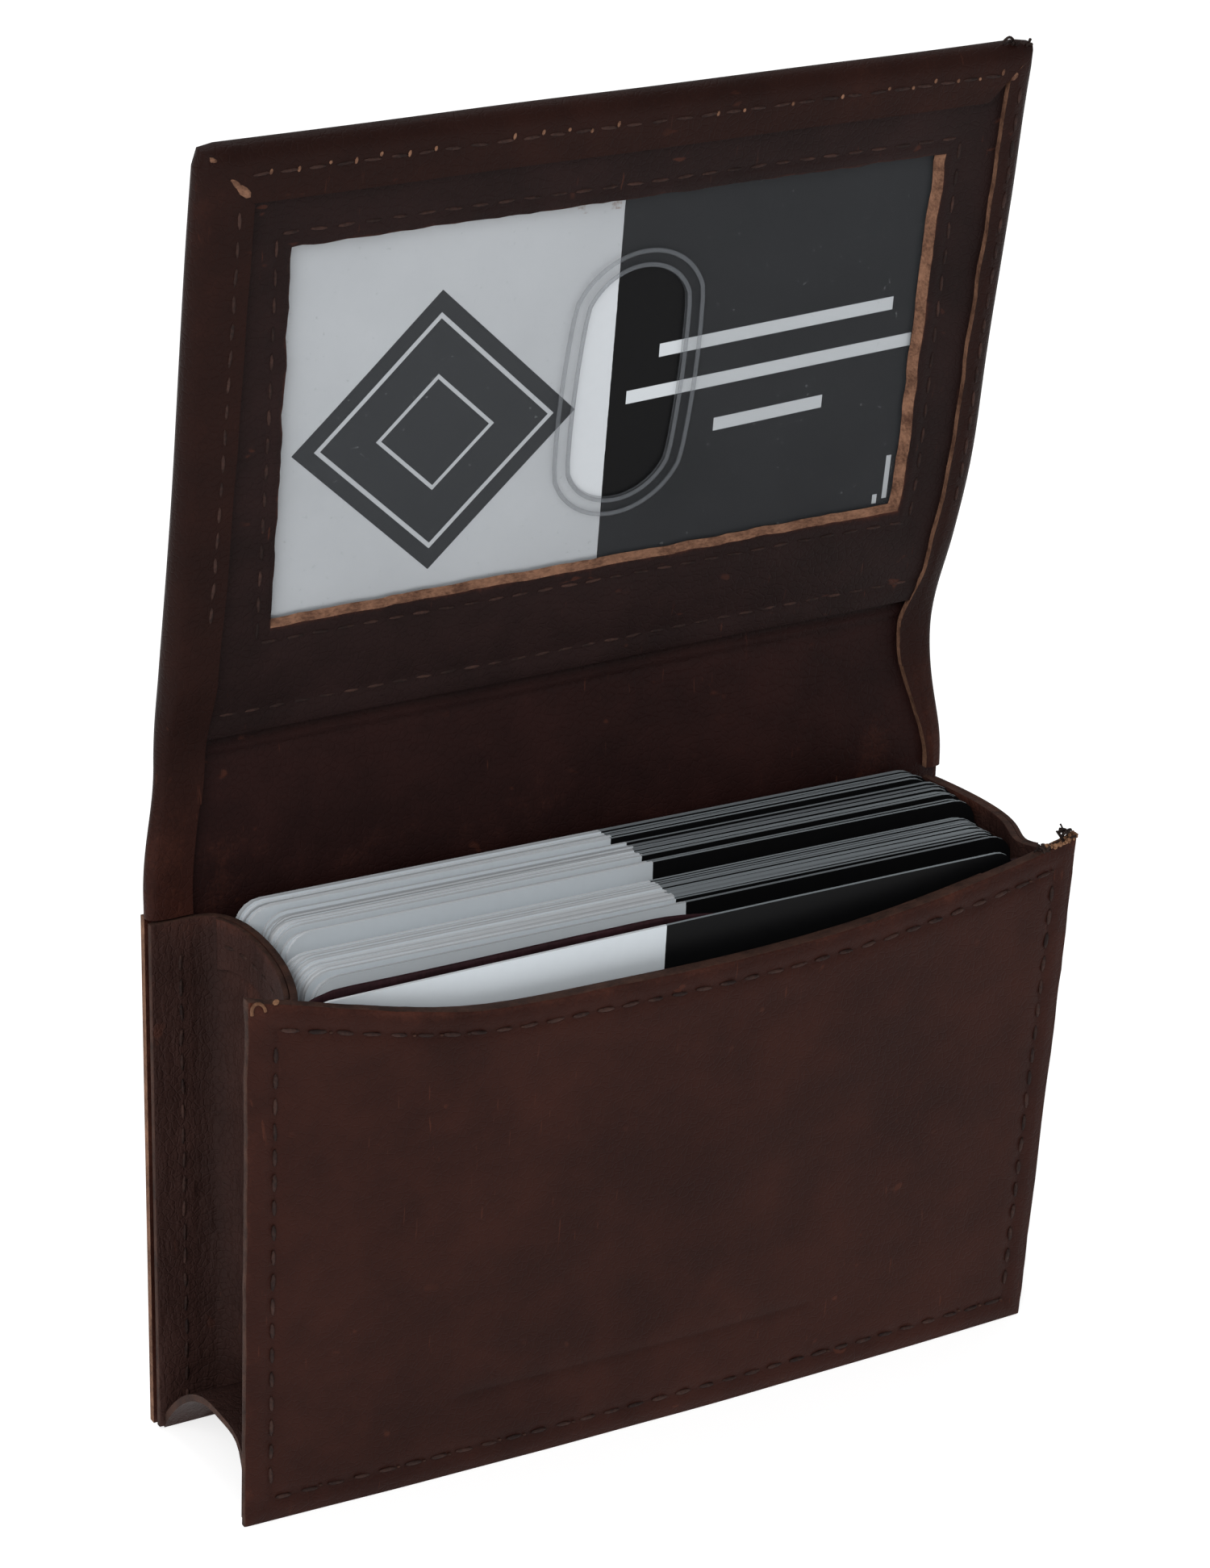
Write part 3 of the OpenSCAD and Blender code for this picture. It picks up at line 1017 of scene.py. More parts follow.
@dataclass
class Seam:
    """A row of short stitches along a line on the leather."""

    name: str
    points: list[tuple[Vector, Vector, Vector]]
    length: float = 2.2
    radius: float = 0.24
    sunk: float = 0.35
    seed: int = 5

    @staticmethod
    def along(line: Callable[[float], tuple[float, float, float]], place: Place, count: int) -> list:
        """Return places, headings and outward directions of evenly spaced stitches.

        Args:
            line: Gives x, v and layer depth for a share from 0 to 1.
            place: Turns x, v and depth into a point.
            count: How many stitches.

        Returns:
            One tuple of three vectors for each stitch.
        """
        rows = []
        for i in range(count):
            t = (i + 0.5) / count
            x, v, n = line(t)
            xa, va, na = line(t - 0.2 / count)
            xb, vb, nb = line(t + 0.2 / count)
            at = place(x, v, n)
            heading = (place(xb, vb, nb) - place(xa, va, na)).normalized()
            outward = (place(x, v, n - 0.3) - place(x, v, n + 0.3)).normalized()
            rows.append((at, heading, outward))
        return rows

    def build(self, material: Material) -> Object:
        """Return the row as one piece.

        Args:
            material: The thread's finish.

        Returns:
            The new object.
        """
        rng = random.Random(self.seed)
        bm = Mesher.fresh()
        for at, heading, outward in self.points:
            third = outward.cross(heading).normalized()
            heading = (heading + third * rng.uniform(-0.08, 0.08)).normalized()
            third = outward.cross(heading).normalized()
            turn = Matrix((heading, third, outward)).transposed().to_4x4()
            long = self.length * rng.uniform(0.9, 1.06) / 2 * MM
            wide = self.radius * rng.uniform(0.9, 1.2) * MM
            size = Matrix.Diagonal((long, wide, self.radius * 0.9 * MM, 1.0))
            sit = Matrix.Translation(at + outward * self.radius * (1 - 2 * self.sunk) * MM)
            bmesh.ops.create_uvsphere(bm, u_segments=7, v_segments=5, radius=1.0, matrix=sit @ turn @ size)
        bmesh.ops.recalc_face_normals(bm, faces=bm.faces[:])
        return Mesher.to_object(bm, self.name, [material], 80.0)


@dataclass
class Assembly:
    """Common ground of the case's sub-assemblies."""

    sizes: CaseSizes
    places: CasePlaces
    palette: Palette

    def __post_init__(self) -> None:
        """Set out the zones that bend."""
        places = self.places
        low = Vector((0.0, places.lower_fold[1], places.lower_fold[2]))
        self.lower_bend = Follow(
            "case", "spine", low + Vector((0, 0, -0.0055)), low + Vector((0, 0, 0.0055))
        )
        self.upper_bend = Follow("spine", "flap", places.back(0, 81.0, 1.8), places.back(0, 89.0, 1.8))
        self.front_bend = Follow(
            "case", "front", places.case(0, 22.0, 30.0), places.case(0, 1.6, 30.0)
        )

    def settle(
        self, piece: Object, follow: Follow, slot: str, replaced: Sequence[str] = ()
    ) -> Object:
        """Attach a finished piece, hide the CAD parts that it replaces and log its face count.

        Args:
            piece: The piece.
            follow: What it moves with.
            slot: Its material slot in the record; not used.
            replaced: CAD nodes that it stands for.

        Returns:
            The piece.
        """
        follow.apply(piece)
        if replaced:
            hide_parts(*replaced)
        faces = len(piece.data.polygons)
        log.info("%s: %d faces, moves with %s %s", piece.name, faces, follow.body, follow.other)
        return piece


# ---------- the wrapped outer leather ----------


@dataclass
class Wrap:
    """Cross-section of leather turned over an edge and laid back as a hem."""

    radius: float
    hem: float

    def run(self) -> list[float]:
        """Return places along the turned part, from the flat to the hem's cut edge.

        Returns:
            The places in rising order.
        """
        roll = math.pi * self.radius
        arc = [roll * i / 8 for i in range(1, 9)]
        flat = [roll + d for d in (0.5, 1.2, 1.9, 2.6, 3.2, 4.0, 4.8, 5.6, 6.4) if d < self.hem - 0.3]
        return arc + flat

    def at(self, s: float, radius: float, hem: float) -> tuple[float, float]:
        """Return how far outside the flat's end a place lies, and how far above the outer face.

        Args:
            s: Distance along the turned part.
            radius: Radius of the turn here.
            hem: Length of the hem past the turn here.

        Returns:
            The outward distance and the height.
        """
        roll = math.pi * self.radius
        if s <= roll:
            angle = math.pi * s / roll
            return radius * math.sin(angle), radius * (1.0 - math.cos(angle))
        share = (s - roll) / max(self.hem, 0.1)
        return -share * hem, 2.0 * radius


@dataclass
class OuterLeather(Assembly):
    """The one outer skin: back, spine and flap, turned over at its rims; sizes in millimetres."""

    back_thick: float = 0.95
    flap_thick: float = 0.7
    spine_radius: float = 1.2
    flap_radius: float = 1.86
    spine_hem: float = 4.6
    flap_hem: float = 4.4
    hem_start: float = 62.8

    def radius(self, v: float) -> float:
        """Return the radius of the turned rim at a height."""
        return mix(self.spine_radius, self.flap_radius, ease((v - 80.0) / 12.0))

    def left_hem(self, v: float) -> float:
        """Return the width of the left hem past its turn."""
        return self.spine_hem + 0.18 * drift(0.0, v, 2.2, 9.0)

    def right_hem(self, v: float) -> float:
        """Return the width of the right hem past its turn, narrow and uneven.

        Args:
            v: Millimetres up the line from the floor.

        Returns:
            The width in millimetres.
        """
        low = mix(1.4, 3.9, ease((v - 63.0) / 15.0))
        high = mix(3.9, 1.7, ease((v - 80.0) / 8.0))
        return min(low, high) + 0.28 * drift(1.0, v, 5.2, 5.0) + 0.1 * drift(1.0, v, 9.2, 1.6)

    def hem(self, side: int, v: float) -> float:
        """Return the width of one side's hem past its turn; side is -1 for the left, 1 for the right."""
        return self.left_hem(v) if side < 0 else self.right_hem(v)

    def side_place(self, side: int, wrap: Wrap, layer_t: float) -> Place:
        """Return the place rule of a turned rim.

        Args:
            side: -1 for the left rim, 1 for the right.
            wrap: Its cross-section.
            layer_t: Thickness of the leather.

        Returns:
            The rule, whose x is the distance along the turned part.
        """

        def place(s: float, v: float, layer: float) -> Vector:
            """Return a point of the turned rim.

            Args:
                s: Distance along the turned part.
                v: Millimetres up the line from the floor.
                layer: 0 on the outer face, 1 on the inner.

            Returns:
                The point in metres.
            """
            radius = self.radius(v)
            inset = layer * layer_t
            roll = math.pi * wrap.radius
            out, up = wrap.at(s, radius, self.hem(side, v))
            if s <= roll:
                angle = math.pi * s / roll
                out -= inset * math.sin(angle)
                up += inset * math.cos(angle)
            else:
                up -= inset
                up += 0.12 * bell(s - roll - 1.2, 0.9) - 0.05
            edge = self.places.half(v) - radius
            return self.places.back(side * (edge + out), v, up)

        return place

    def top_place(self, wrap: Wrap, layer_t: float, top: float) -> Place:
        """Return the place rule of the flap's turned top.

        Args:
            wrap: Its cross-section.
            layer_t: Thickness of the leather.
            top: Height at which the turn starts.

        Returns:
            The rule, whose v is the distance along the turned part.
        """

        def place(x: float, s: float, layer: float) -> Vector:
            """Return a point of the top.

            Args:
                x: Share of the half width.
                s: Distance along the turned part.
                layer: 0 on the outer face, 1 on the inner.

            Returns:
                The point in metres.
            """
            radius = wrap.radius
            inset = layer * layer_t
            roll = math.pi * radius
            out, up = wrap.at(s, radius, wrap.hem)
            if s <= roll:
                angle = math.pi * s / roll
                out -= inset * math.sin(angle)
                up += inset * math.cos(angle)
            else:
                up -= inset
            reach = self.places.half(top) - radius + out
            return self.places.back(x * reach, top + out, up)

        return place

    def build_back(self) -> None:
        """Build the back with the lower spine's turned rims."""
        s = self.sizes
        thick = self.back_thick
        wrap = Wrap(self.spine_radius, self.spine_hem)
        bm = Mesher.fresh()
        start = self.hem_start
        flat_vs = stations(0.0, start, 1.5, (0.5,)) + stations(start, s.mid_spine, 0.75)[1:]

        def flat(x: float, v: float, layer: float) -> Vector:
            """Return a point of the flat back; x is a share of its half width.

            Args:
                x: Share of the half width.
                v: Millimetres up the line.
                layer: 0 on the outer face, 1 on the inner.

            Returns:
                The point in metres.
            """
            flat_half = self.places.half(v) - self.radius(v)
            dent = 0.12 * bell(abs(x) * flat_half - (s.width / 2 - s.seam), 0.7) if v < 60 else 0.0
            return self.places.back(x * flat_half, v, layer * thick + dent)

        parts = [(Mesher.grid(bm, [i / 24 for i in range(-24, 25)], flat_vs), flat)]
        hem_vs = [v for v in flat_vs if v >= start - 0.01]
        low_vs = [v for v in flat_vs if v <= start + 0.01]
        for side in (-1, 1):
            turned = self.side_place(side, wrap, thick)
            parts.append((Mesher.grid(bm, [0.0, *wrap.run()], hem_vs), turned))

            def margin(x: float, v: float, layer: float, side: int = side) -> Vector:
                """Return a point of the plain side margin below the gussets' tops; x is a share of it."""
                half = self.places.half(v)
                rim = mix(half - self.radius(v), min(s.width / 2 - 0.15, half), x)
                return self.places.back(side * rim, v, layer * thick)

            parts.append((Mesher.grid(bm, [0.0, 0.55, 1.0], low_vs), margin))
        self.close(bm, parts)
        piece = Mesher.to_object(bm, "back_leather", [self.palette.outer, self.palette.raw], 50.0)
        self.settle(piece, self.lower_bend, "outer_leather", ("back_panel", "spine_hems"))

    def build_flap(self) -> None:
        """Build the upper spine and the flap with their turned rims and mitred corners."""
        s = self.sizes
        thick = self.flap_thick
        wrap = Wrap(self.flap_radius, self.flap_hem)
        top = s.crease + s.flap_height - self.flap_radius
        bm = Mesher.fresh()
        rows = stations(s.mid_spine, 97.0, 0.75) + stations(97.0, top, 2.0)[1:]

        def flat(x: float, v: float, layer: float) -> Vector:
            """Return a point of the flat outer face; x is a share of its half width."""
            return self.places.back(x * (self.places.half(v) - self.radius(v)), v, layer * thick)

        cols = [i / 24 for i in range(-24, 25)]
        parts = [(Mesher.grid(bm, cols, rows), flat)]
        for side in (-1, 1):
            turned = self.side_place(side, wrap, thick)

            def mitred(x: float, v: float, layer: float, turned: Place = turned, side: int = side) -> Vector:
                """Return a point of the rim, cut to a mitre at the flap's corner."""
                out, _ = wrap.at(x, wrap.radius, self.hem(side, v))
                return turned(x, v + out * ease((v - top + 12.0) / 12.0), layer)

            parts.append((Mesher.grid(bm, [0.0, *wrap.run()], rows), mitred))
        parts.append((Mesher.grid(bm, cols, [0.0, *wrap.run()]), self.top_place(wrap, thick, top)))
        self.close(bm, parts)
        piece = Mesher.to_object(bm, "flap_leather", [self.palette.outer, self.palette.raw], 50.0)
        self.settle(piece, self.upper_bend, "outer_leather", ("spine_panel", "flap_panel", "flap_hem"))

    def close(self, bm: BMesh, parts: list) -> None:
        """Weld the skin's parts, give it its thickness, and mark its wear and its painted shade.

        Args:
            bm: The mesh with the flat parts.
            parts: Each part's vertices and place rule.
        """
        rules = bm.verts.layers.int["rule"]
        param = bm.verts.layers.float_vector["param"]
        for number, (verts, rule) in enumerate(parts):
            for vert in verts:
                x, v, _ = vert[param]
                vert[rules] = number
                vert.co = rule(x, v, 0.0)
        bmesh.ops.remove_doubles(bm, verts=bm.verts[:], dist=0.00002)
        fresh = Mesher.extruded(bm, bm.faces)
        for vert in fresh:
            x, v, _ = vert[param]
            vert.co = parts[vert[rules]][1](x, v, 1.0)
        Mesher.mark_rims(bm, fresh)
        wear, shade = bm.verts.layers.float["wear"], bm.verts.layers.float["shade"]
        for vert in bm.verts:
            number = vert[rules]
            # Painted shade: the one hide grows darker up the spine and over the flap, and shows less wear
            # there.
            vert[shade] = 0.68 * ease((vert.co.z / MM - 62.0) / 28.0)
            s = vert[param][0] if number in (1, 2, 3) else vert[param][1]
            rolled = number > 0 and 0.5 < s < 6.5
            vert[wear] = (0.4 if rolled else 0.08) * (1.0 - 0.5 * vert[shade])

    def build_threads(self) -> None:
        """Build the stitches of the back and of the hems."""
        s = self.sizes
        p = self.places
        rows = []
        for side in (-1, 1):
            x = side * (s.width / 2 - s.seam)
            rows += Seam.along(lambda t, x=x: (x, mix(4.5, 58.0, t), 0.02), p.back, 18)
        rows += Seam.along(lambda t: (mix(-45.5, 45.5, t), 3.0, 0.0), p.back, 30)
        turned = [(at, heading, Vector((0.0, 1.0, 0.0))) for at, heading, _ in rows]
        piece = Seam("back_stitches", turned).build(self.palette.thread)
        self.settle(piece, Follow("case"), "thread", ("back_seam_thread",))
        left = Seam.along(lambda t: (-45.0, mix(98.0, 146.0, t), 3.62), self.places.back, 16)
        top = Seam.along(lambda t: (mix(-44.5, 45.0, t), 149.1, 3.66), self.places.back, 30)
        right = Seam.along(lambda t: (47.6, mix(96.0, 148.0, t), 3.7), self.places.back, 17)
        piece = Seam("flap_hem_stitches", left + top + right, radius=0.2, sunk=0.6).build(self.palette.thread)
        self.settle(piece, Follow("flap"), "thread", ("flap_hem_thread",))


# ---------- the flap's inside ----------


@dataclass(frozen=True)
class WindowSizes:
    """Sizes of the window in millimetres, along the flap from its crease."""

    middle: float = 1.1
    width: float = 78.4
    height: float = 44.5
    base: float = 12.0
    slot_middle: float = 3.4
    slot_height: float = 34.0
    slot_wide: float = 12.6
    slot_long: float = 27.6
    rim: float = 2.0
    card_wide: float = 89.0
    card_tall: float = 51.0
    card_middle: float = 1.4


@dataclass
class WindowFlap(Assembly):
    """The lined spine, the leather frame, the clear sheet and the card behind it."""

    window: WindowSizes = WindowSizes()

    def lining_place(self, x: float, v: float, layer: float) -> Vector:
        """Return a point of the lining; x is a share of its half width.

        Args:
            x: Share of the half width.
            v: Millimetres up the line.
            layer: 0 on the visible face, 1 on the hidden.

        Returns:
            The point in metres.
        """
        half = self.places.half(v) - 0.85
        crease = 0.22 * bell(v - 82.3, 0.55) + 0.12 * bell(v - 80.9, 0.5) - 0.16 * bell(v - 81.6, 0.5)
        rumple = 0.14 * drift(x * half, v, 4.4, 8.0) * ease((v - 58.0) / 8.0)
        depth = 1.45 - (crease + rumple) * (1.0 if v < 85.0 else 0.0)
        return self.places.back(x * half, v, mix(depth, 0.98, layer))

    def build_lining(self) -> None:
        """Build the lining of the back and of the spine, which meet halfway up the spine."""
        mid = self.sizes.mid_spine
        xs = [i / 30 for i in range(-30, 31)]

        def wear(p: Vector) -> float:
            """Return how worn a point is: over the gussets' tops and along the sides."""
            return 0.25 * bell(p[1] - 66.0, 5.0) + 0.22 * bell(abs(p[0]) - 0.84, 0.05) * (p[1] < 83.0)

        def shade(p: Vector) -> float:
            """Return the painted shade of a point: in the two creases and down inside the case."""
            creases = 0.8 * bell(p[1] - 82.9, 0.7) + 0.35 * bell(p[1] - 81.0, 0.5)
            return creases + 0.5 * ease((64.0 - p[1]) / 10.0)

        finish = [self.palette.inner, self.palette.inner]
        low = Sheet("back_inner_leather", xs, stations(9.0, 57.0, 4.0) + stations(57.0, mid, 0.8)[1:],
                    self.lining_place, 0.0, wear, shade)
        self.settle(low.build(finish), self.lower_bend, "inner_leather", ("back_lining",))
        high = Sheet("spine_inner_leather", xs, stations(mid, 84.9, 0.4), self.lining_place, 0.0, wear, shade)
        self.settle(high.build(finish), self.upper_bend, "inner_leather", ("spine_lining",))

    def skew(self, x: float, v: float) -> float:
        """Return x shifted by the slight turn of the window in the flap."""
        return x - 0.03 * (v - self.sizes.crease - self.window.slot_height)

    def ring(self, inner: Callable, outer: Callable, p: float, r: float) -> tuple[float, float]:
        """Return the point a share r from an inner outline to an outer one at place p round them."""
        a, b = inner(p), outer(p)
        return mix(a[0], b[0], r), mix(a[1], b[1], r)

    def rectangle(self, low: tuple, high: tuple) -> Callable[[float], tuple[float, float]]:
        """Return an outline that runs round a rectangle, one side for each whole number.

        Args:
            low: Lower left corner.
            high: Upper right corner.

        Returns:
            The outline, which takes a place from 0 to 4.
        """

        def outline(p: float) -> tuple[float, float]:
            """Return the point at place p, from 0 to 4.

            Args:
                p: The place round the outline.

            Returns:
                Its x and v.
            """
            side = int(p + 1e-5) % 4
            t = p - int(p + 1e-5)
            corners = [low, (high[0], low[1]), high, (low[0], high[1])]
            a, b = corners[side], corners[(side + 1) % 4]
            return mix(a[0], b[0], t), mix(a[1], b[1], t)

        return outline

    def stadium(self, grow: float) -> Callable[[float], tuple[float, float]]:
        """Return the thumb slot's outline, grown by an amount, with places from 0 to 4.

        Args:
            grow: Millimetres outside the slot.

        Returns:
            The outline.
        """
        w = self.window
        radius = w.slot_wide / 2 + grow
        straight = (w.slot_long - w.slot_wide) / 2

        def outline(p: float) -> tuple[float, float]:
            """Return the point at place p, starting at the lower left corner's direction.

            Args:
                p: The place round the outline.

            Returns:
                Its x and v.
            """
            angle = -0.75 * math.pi + p * math.pi / 2
            x, z = math.cos(angle) * radius, math.sin(angle) * radius
            z += straight * max(-1.0, min(1.0, math.sin(angle) * 3.0))
            return w.slot_middle + x, self.sizes.crease + w.slot_height + z

        return outline

    def frame_place(self, p: float, r: float, layer: float) -> Vector:
        """Return a point of the leather frame at place p round it and a share r out from its opening.

        Args:
            p: Place round the frame, one side for each whole number.
            r: Share of the way from the opening to the rim.
            layer: 0 on the visible face, 1 on the hidden.

        Returns:
            The point in metres.
        """
        w, s = self.window, self.sizes
        left, right = w.middle - w.width / 2, w.middle + w.width / 2
        low, high = s.crease + w.base, s.crease + w.base + w.height
        inner = self.rectangle((left, low), (right, high))
        outer = self.rectangle((-47.4, 83.35), (47.4, 149.9))
        x, v = self.ring(inner, outer, p, r)
        side = int(p + 1e-5) % 4
        gap = [low - v, x - right, v - high, left - x][side]
        ragged = 0.22 * drift(x, v, 8.0, 3.0) + 0.12 * drift(x, v, 3.0, 0.9)
        edge = bell(r, 0.1)
        x += ragged * edge * (side in (1, 3))
        v += ragged * edge * (side in (0, 2))
        if layer > 0.5:
            x -= 1.0 * bell(r, 0.04) * ease((x - right + 1.5) / 1.5) * (low - 0.5 < v < high + 1.0)
            v += 0.75 * bell(r, 0.04) * ease((low + 1.5 - v) / 1.5) * (left - 0.5 < x < right + 1.0)
        depth = 2.94 - 0.2 * bell(gap, 0.45) - 0.16 * bell(gap - 1.6, 0.45)
        low_rim = ease((92.0 - v) / 9.0)
        depth -= 0.55 * low_rim + 0.14 * bell(v - 86.1, 0.5) - 0.1 * bell(v - 84.6, 0.7)
        deep = mix(2.05, 1.5, low_rim)
        return self.places.back(self.skew(x, v) if r < 0.999 else x, v, mix(depth, deep, layer))

    def build_frame(self) -> None:
        """Build the leather frame round the window with its pale cut edge."""
        ps = []
        for side, count in enumerate((64, 40, 64, 40)):
            ps += [side + i / count for i in range(count)]
        ps.append(4.0)
        rs = [0.0, 0.03, 0.07, 0.12, 0.17, 0.22, 0.28, 0.36, 0.44, 0.52, 0.6, 0.68, 0.74, 0.8, 0.85, 0.9,
              0.95, 1.0]
        bm = Mesher.fresh()
        verts = Mesher.grid(bm, ps, rs)
        Mesher.lay(bm, self.frame_place, 0.0, verts)
        bmesh.ops.remove_doubles(bm, verts=bm.verts[:], dist=0.00001)
        Mesher.thicken(bm, self.frame_place, 0.0)
        param = bm.verts.layers.float_vector["param"]
        for face in bm.faces:
            if face.material_index == 1 and all(v[param][1] > 0.9 for v in face.verts):
                face.material_index = 0
        sharp = [e for e in bm.edges if e.calc_face_angle(0.0) > 0.9]
        rims = [e for e in sharp if all(v[param][1] > 0.9 for v in e.verts)]
        Mesher.round_rims(bm, rims, 0.3, 2)
        Mesher.mark(bm, "wear", lambda p: 0.4 * bell(p[1], 0.03) + 0.12)
        piece = Mesher.to_object(bm, "window_frame_leather", [self.palette.frame, self.palette.raw], 50.0)
        self.settle(piece, self.upper_bend, "frame_leather", ("window_frame", "frame_lower_strip"))

    def build_clear(self) -> None:
        """Build the clear sheet with its thumb slot and the two ridges round the slot."""
        w, s = self.window, self.sizes
        outer = self.rectangle(
            (w.middle - w.width / 2 - 2.6, s.crease + w.base - 2.2),
            (w.middle + w.width / 2 + 2.6, s.crease + w.base + w.height + 2.6),
        )

        def sheet(p: float, r: float, layer: float) -> Vector:
            """Return a point of the clear sheet."""
            x, v = self.ring(self.stadium(0.0), outer, p, r)
            return self.places.back(x, v, mix(1.98, 1.76, layer))

        ps = [i / 16 for i in range(65)]
        bm = Mesher.fresh()
        Mesher.lay(bm, sheet, 0.0, Mesher.grid(bm, ps, [0.0, 0.1, 0.3, 0.6, 1.0]))
        bmesh.ops.remove_doubles(bm, verts=bm.verts[:], dist=0.00001)
        Mesher.thicken(bm, sheet, 0.0)
        piece = Mesher.to_object(bm, "clear_sheet", [self.palette.clear, self.palette.ridge], 50.0)
        self.settle(piece, Follow("flap"), "clear_sheet", ("clear_window",))
        bm = Mesher.fresh()
        for low, high, top in ((0.1, 0.6, 2.2), (w.rim - 0.25, w.rim + 0.25, 2.22)):
            part = Mesher.fresh()

            def ridge(p: float, r: float, layer: float, low: float = low, high: float = high,
                      top: float = top) -> Vector:
                """Return a point of one ridge."""
                x, v = self.stadium(mix(low, high, r))(p)
                return self.places.back(x, v, mix(top, 1.99, layer))

            Mesher.lay(part, ridge, 0.0, Mesher.grid(part, ps, [0.0, 0.5, 1.0]))
            bmesh.ops.remove_doubles(part, verts=part.verts[:], dist=0.00001)
            Mesher.thicken(part, ridge, 0.08)
            temp = bpy.data.meshes.new("ridge_part")
            part.to_mesh(temp)
            part.free()
            bm.from_mesh(temp)
            bpy.data.meshes.remove(temp)
        piece = Mesher.to_object(bm, "slot_ridges", [self.palette.ridge, self.palette.ridge], 60.0)
        self.settle(piece, Follow("flap"), "clear_sheet", ("slot_rim",))

    def build_card(self) -> None:
        """Build the card behind the window."""
        w, s = self.window, self.sizes
        base = s.crease + w.base + w.height / 2 - w.card_tall / 2

        def place(x: float, z: float, layer: float) -> Vector:
            """Return a point of the card."""
            return self.places.back(w.card_middle + x, base + z, mix(1.6, 1.27, layer))

        bm = Mesher.fresh()
        half = w.card_wide / 2
        rows = stations(0.0, w.card_tall, 5.0)
        Mesher.lay(bm, place, 0.0, Mesher.grid(bm, stations(-half, half, 5.0), rows))
        corners = [v for v in bm.verts if len(v.link_edges) == 2]
        Mesher.round_corners(bm, corners, 2.6, 4)
        fresh = Mesher.extruded(bm, bm.faces)
        back = self.places.back(0, base + 20, 1.27) - self.places.back(0, base + 20, 1.6)
        bmesh.ops.translate(bm, verts=fresh, vec=back)
        Mesher.mark_rims(bm, fresh)
        side, rise = bm.verts.layers.float["side"], bm.verts.layers.float["rise"]
        foot = self.places.back(w.card_middle, base, 1.6)
        up = (self.places.back(w.card_middle, base + 40, 1.6) - foot).normalized()
        for vert in bm.verts:
            x = vert.co.x / MM - w.card_middle
            z = (vert.co - foot).dot(up) / MM - 0.0243 * x
            vert[rise] = z
            vert[side] = x + 0.056 * (z - w.card_tall / 2)
        finish = [self.palette.window_card, self.palette.card_edge]
        piece = Mesher.to_object(bm, "window_card_print", finish, 50.0)
        self.settle(piece, Follow("id_card"), "printed_card", ("window_card",))

    def build_threads(self) -> None:
        """Build the stitches round the opening and along the frame's lower margin."""
        w, s = self.window, self.sizes
        low, high = s.crease + w.base - 1.6, s.crease + w.base + w.height + 1.7
        left, right = w.middle - w.width / 2 - 1.6, w.middle + w.width / 2 + 1.6

        def over(x: float, v: float, n: float) -> Vector:
            """Return a point on the frame's face."""
            return self.places.back(self.skew(x, v), v, n)

        rows = Seam.along(lambda t: (mix(left, right, t), low, 2.8), over, 27)
        rows += Seam.along(lambda t: (mix(left, right, t), high, 2.8), over, 27)
        rows += Seam.along(lambda t: (left, mix(low, high, t), 2.8), over, 15)
        rows += Seam.along(lambda t: (right, mix(low, high, t), 2.8), over, 15)
        rows = [(at, heading, -outward) for at, heading, outward in rows]
        piece = Seam("window_stitches", rows, radius=0.2, sunk=0.5).build(self.palette.thread)
        self.settle(piece, self.upper_bend, "thread", ("window_thread",))
        rows = Seam.along(lambda t: (mix(-43.0, 45.0, t), 86.0, 2.3), self.places.back, 30)
        rows = [(at, heading, -outward) for at, heading, outward in rows]
        piece = Seam("frame_edge_stitches", rows, radius=0.22, sunk=0.35, seed=8).build(self.palette.thread)
        self.settle(piece, self.upper_bend, "thread", ("frame_edge_thread",))


# ---------- gussets ----------


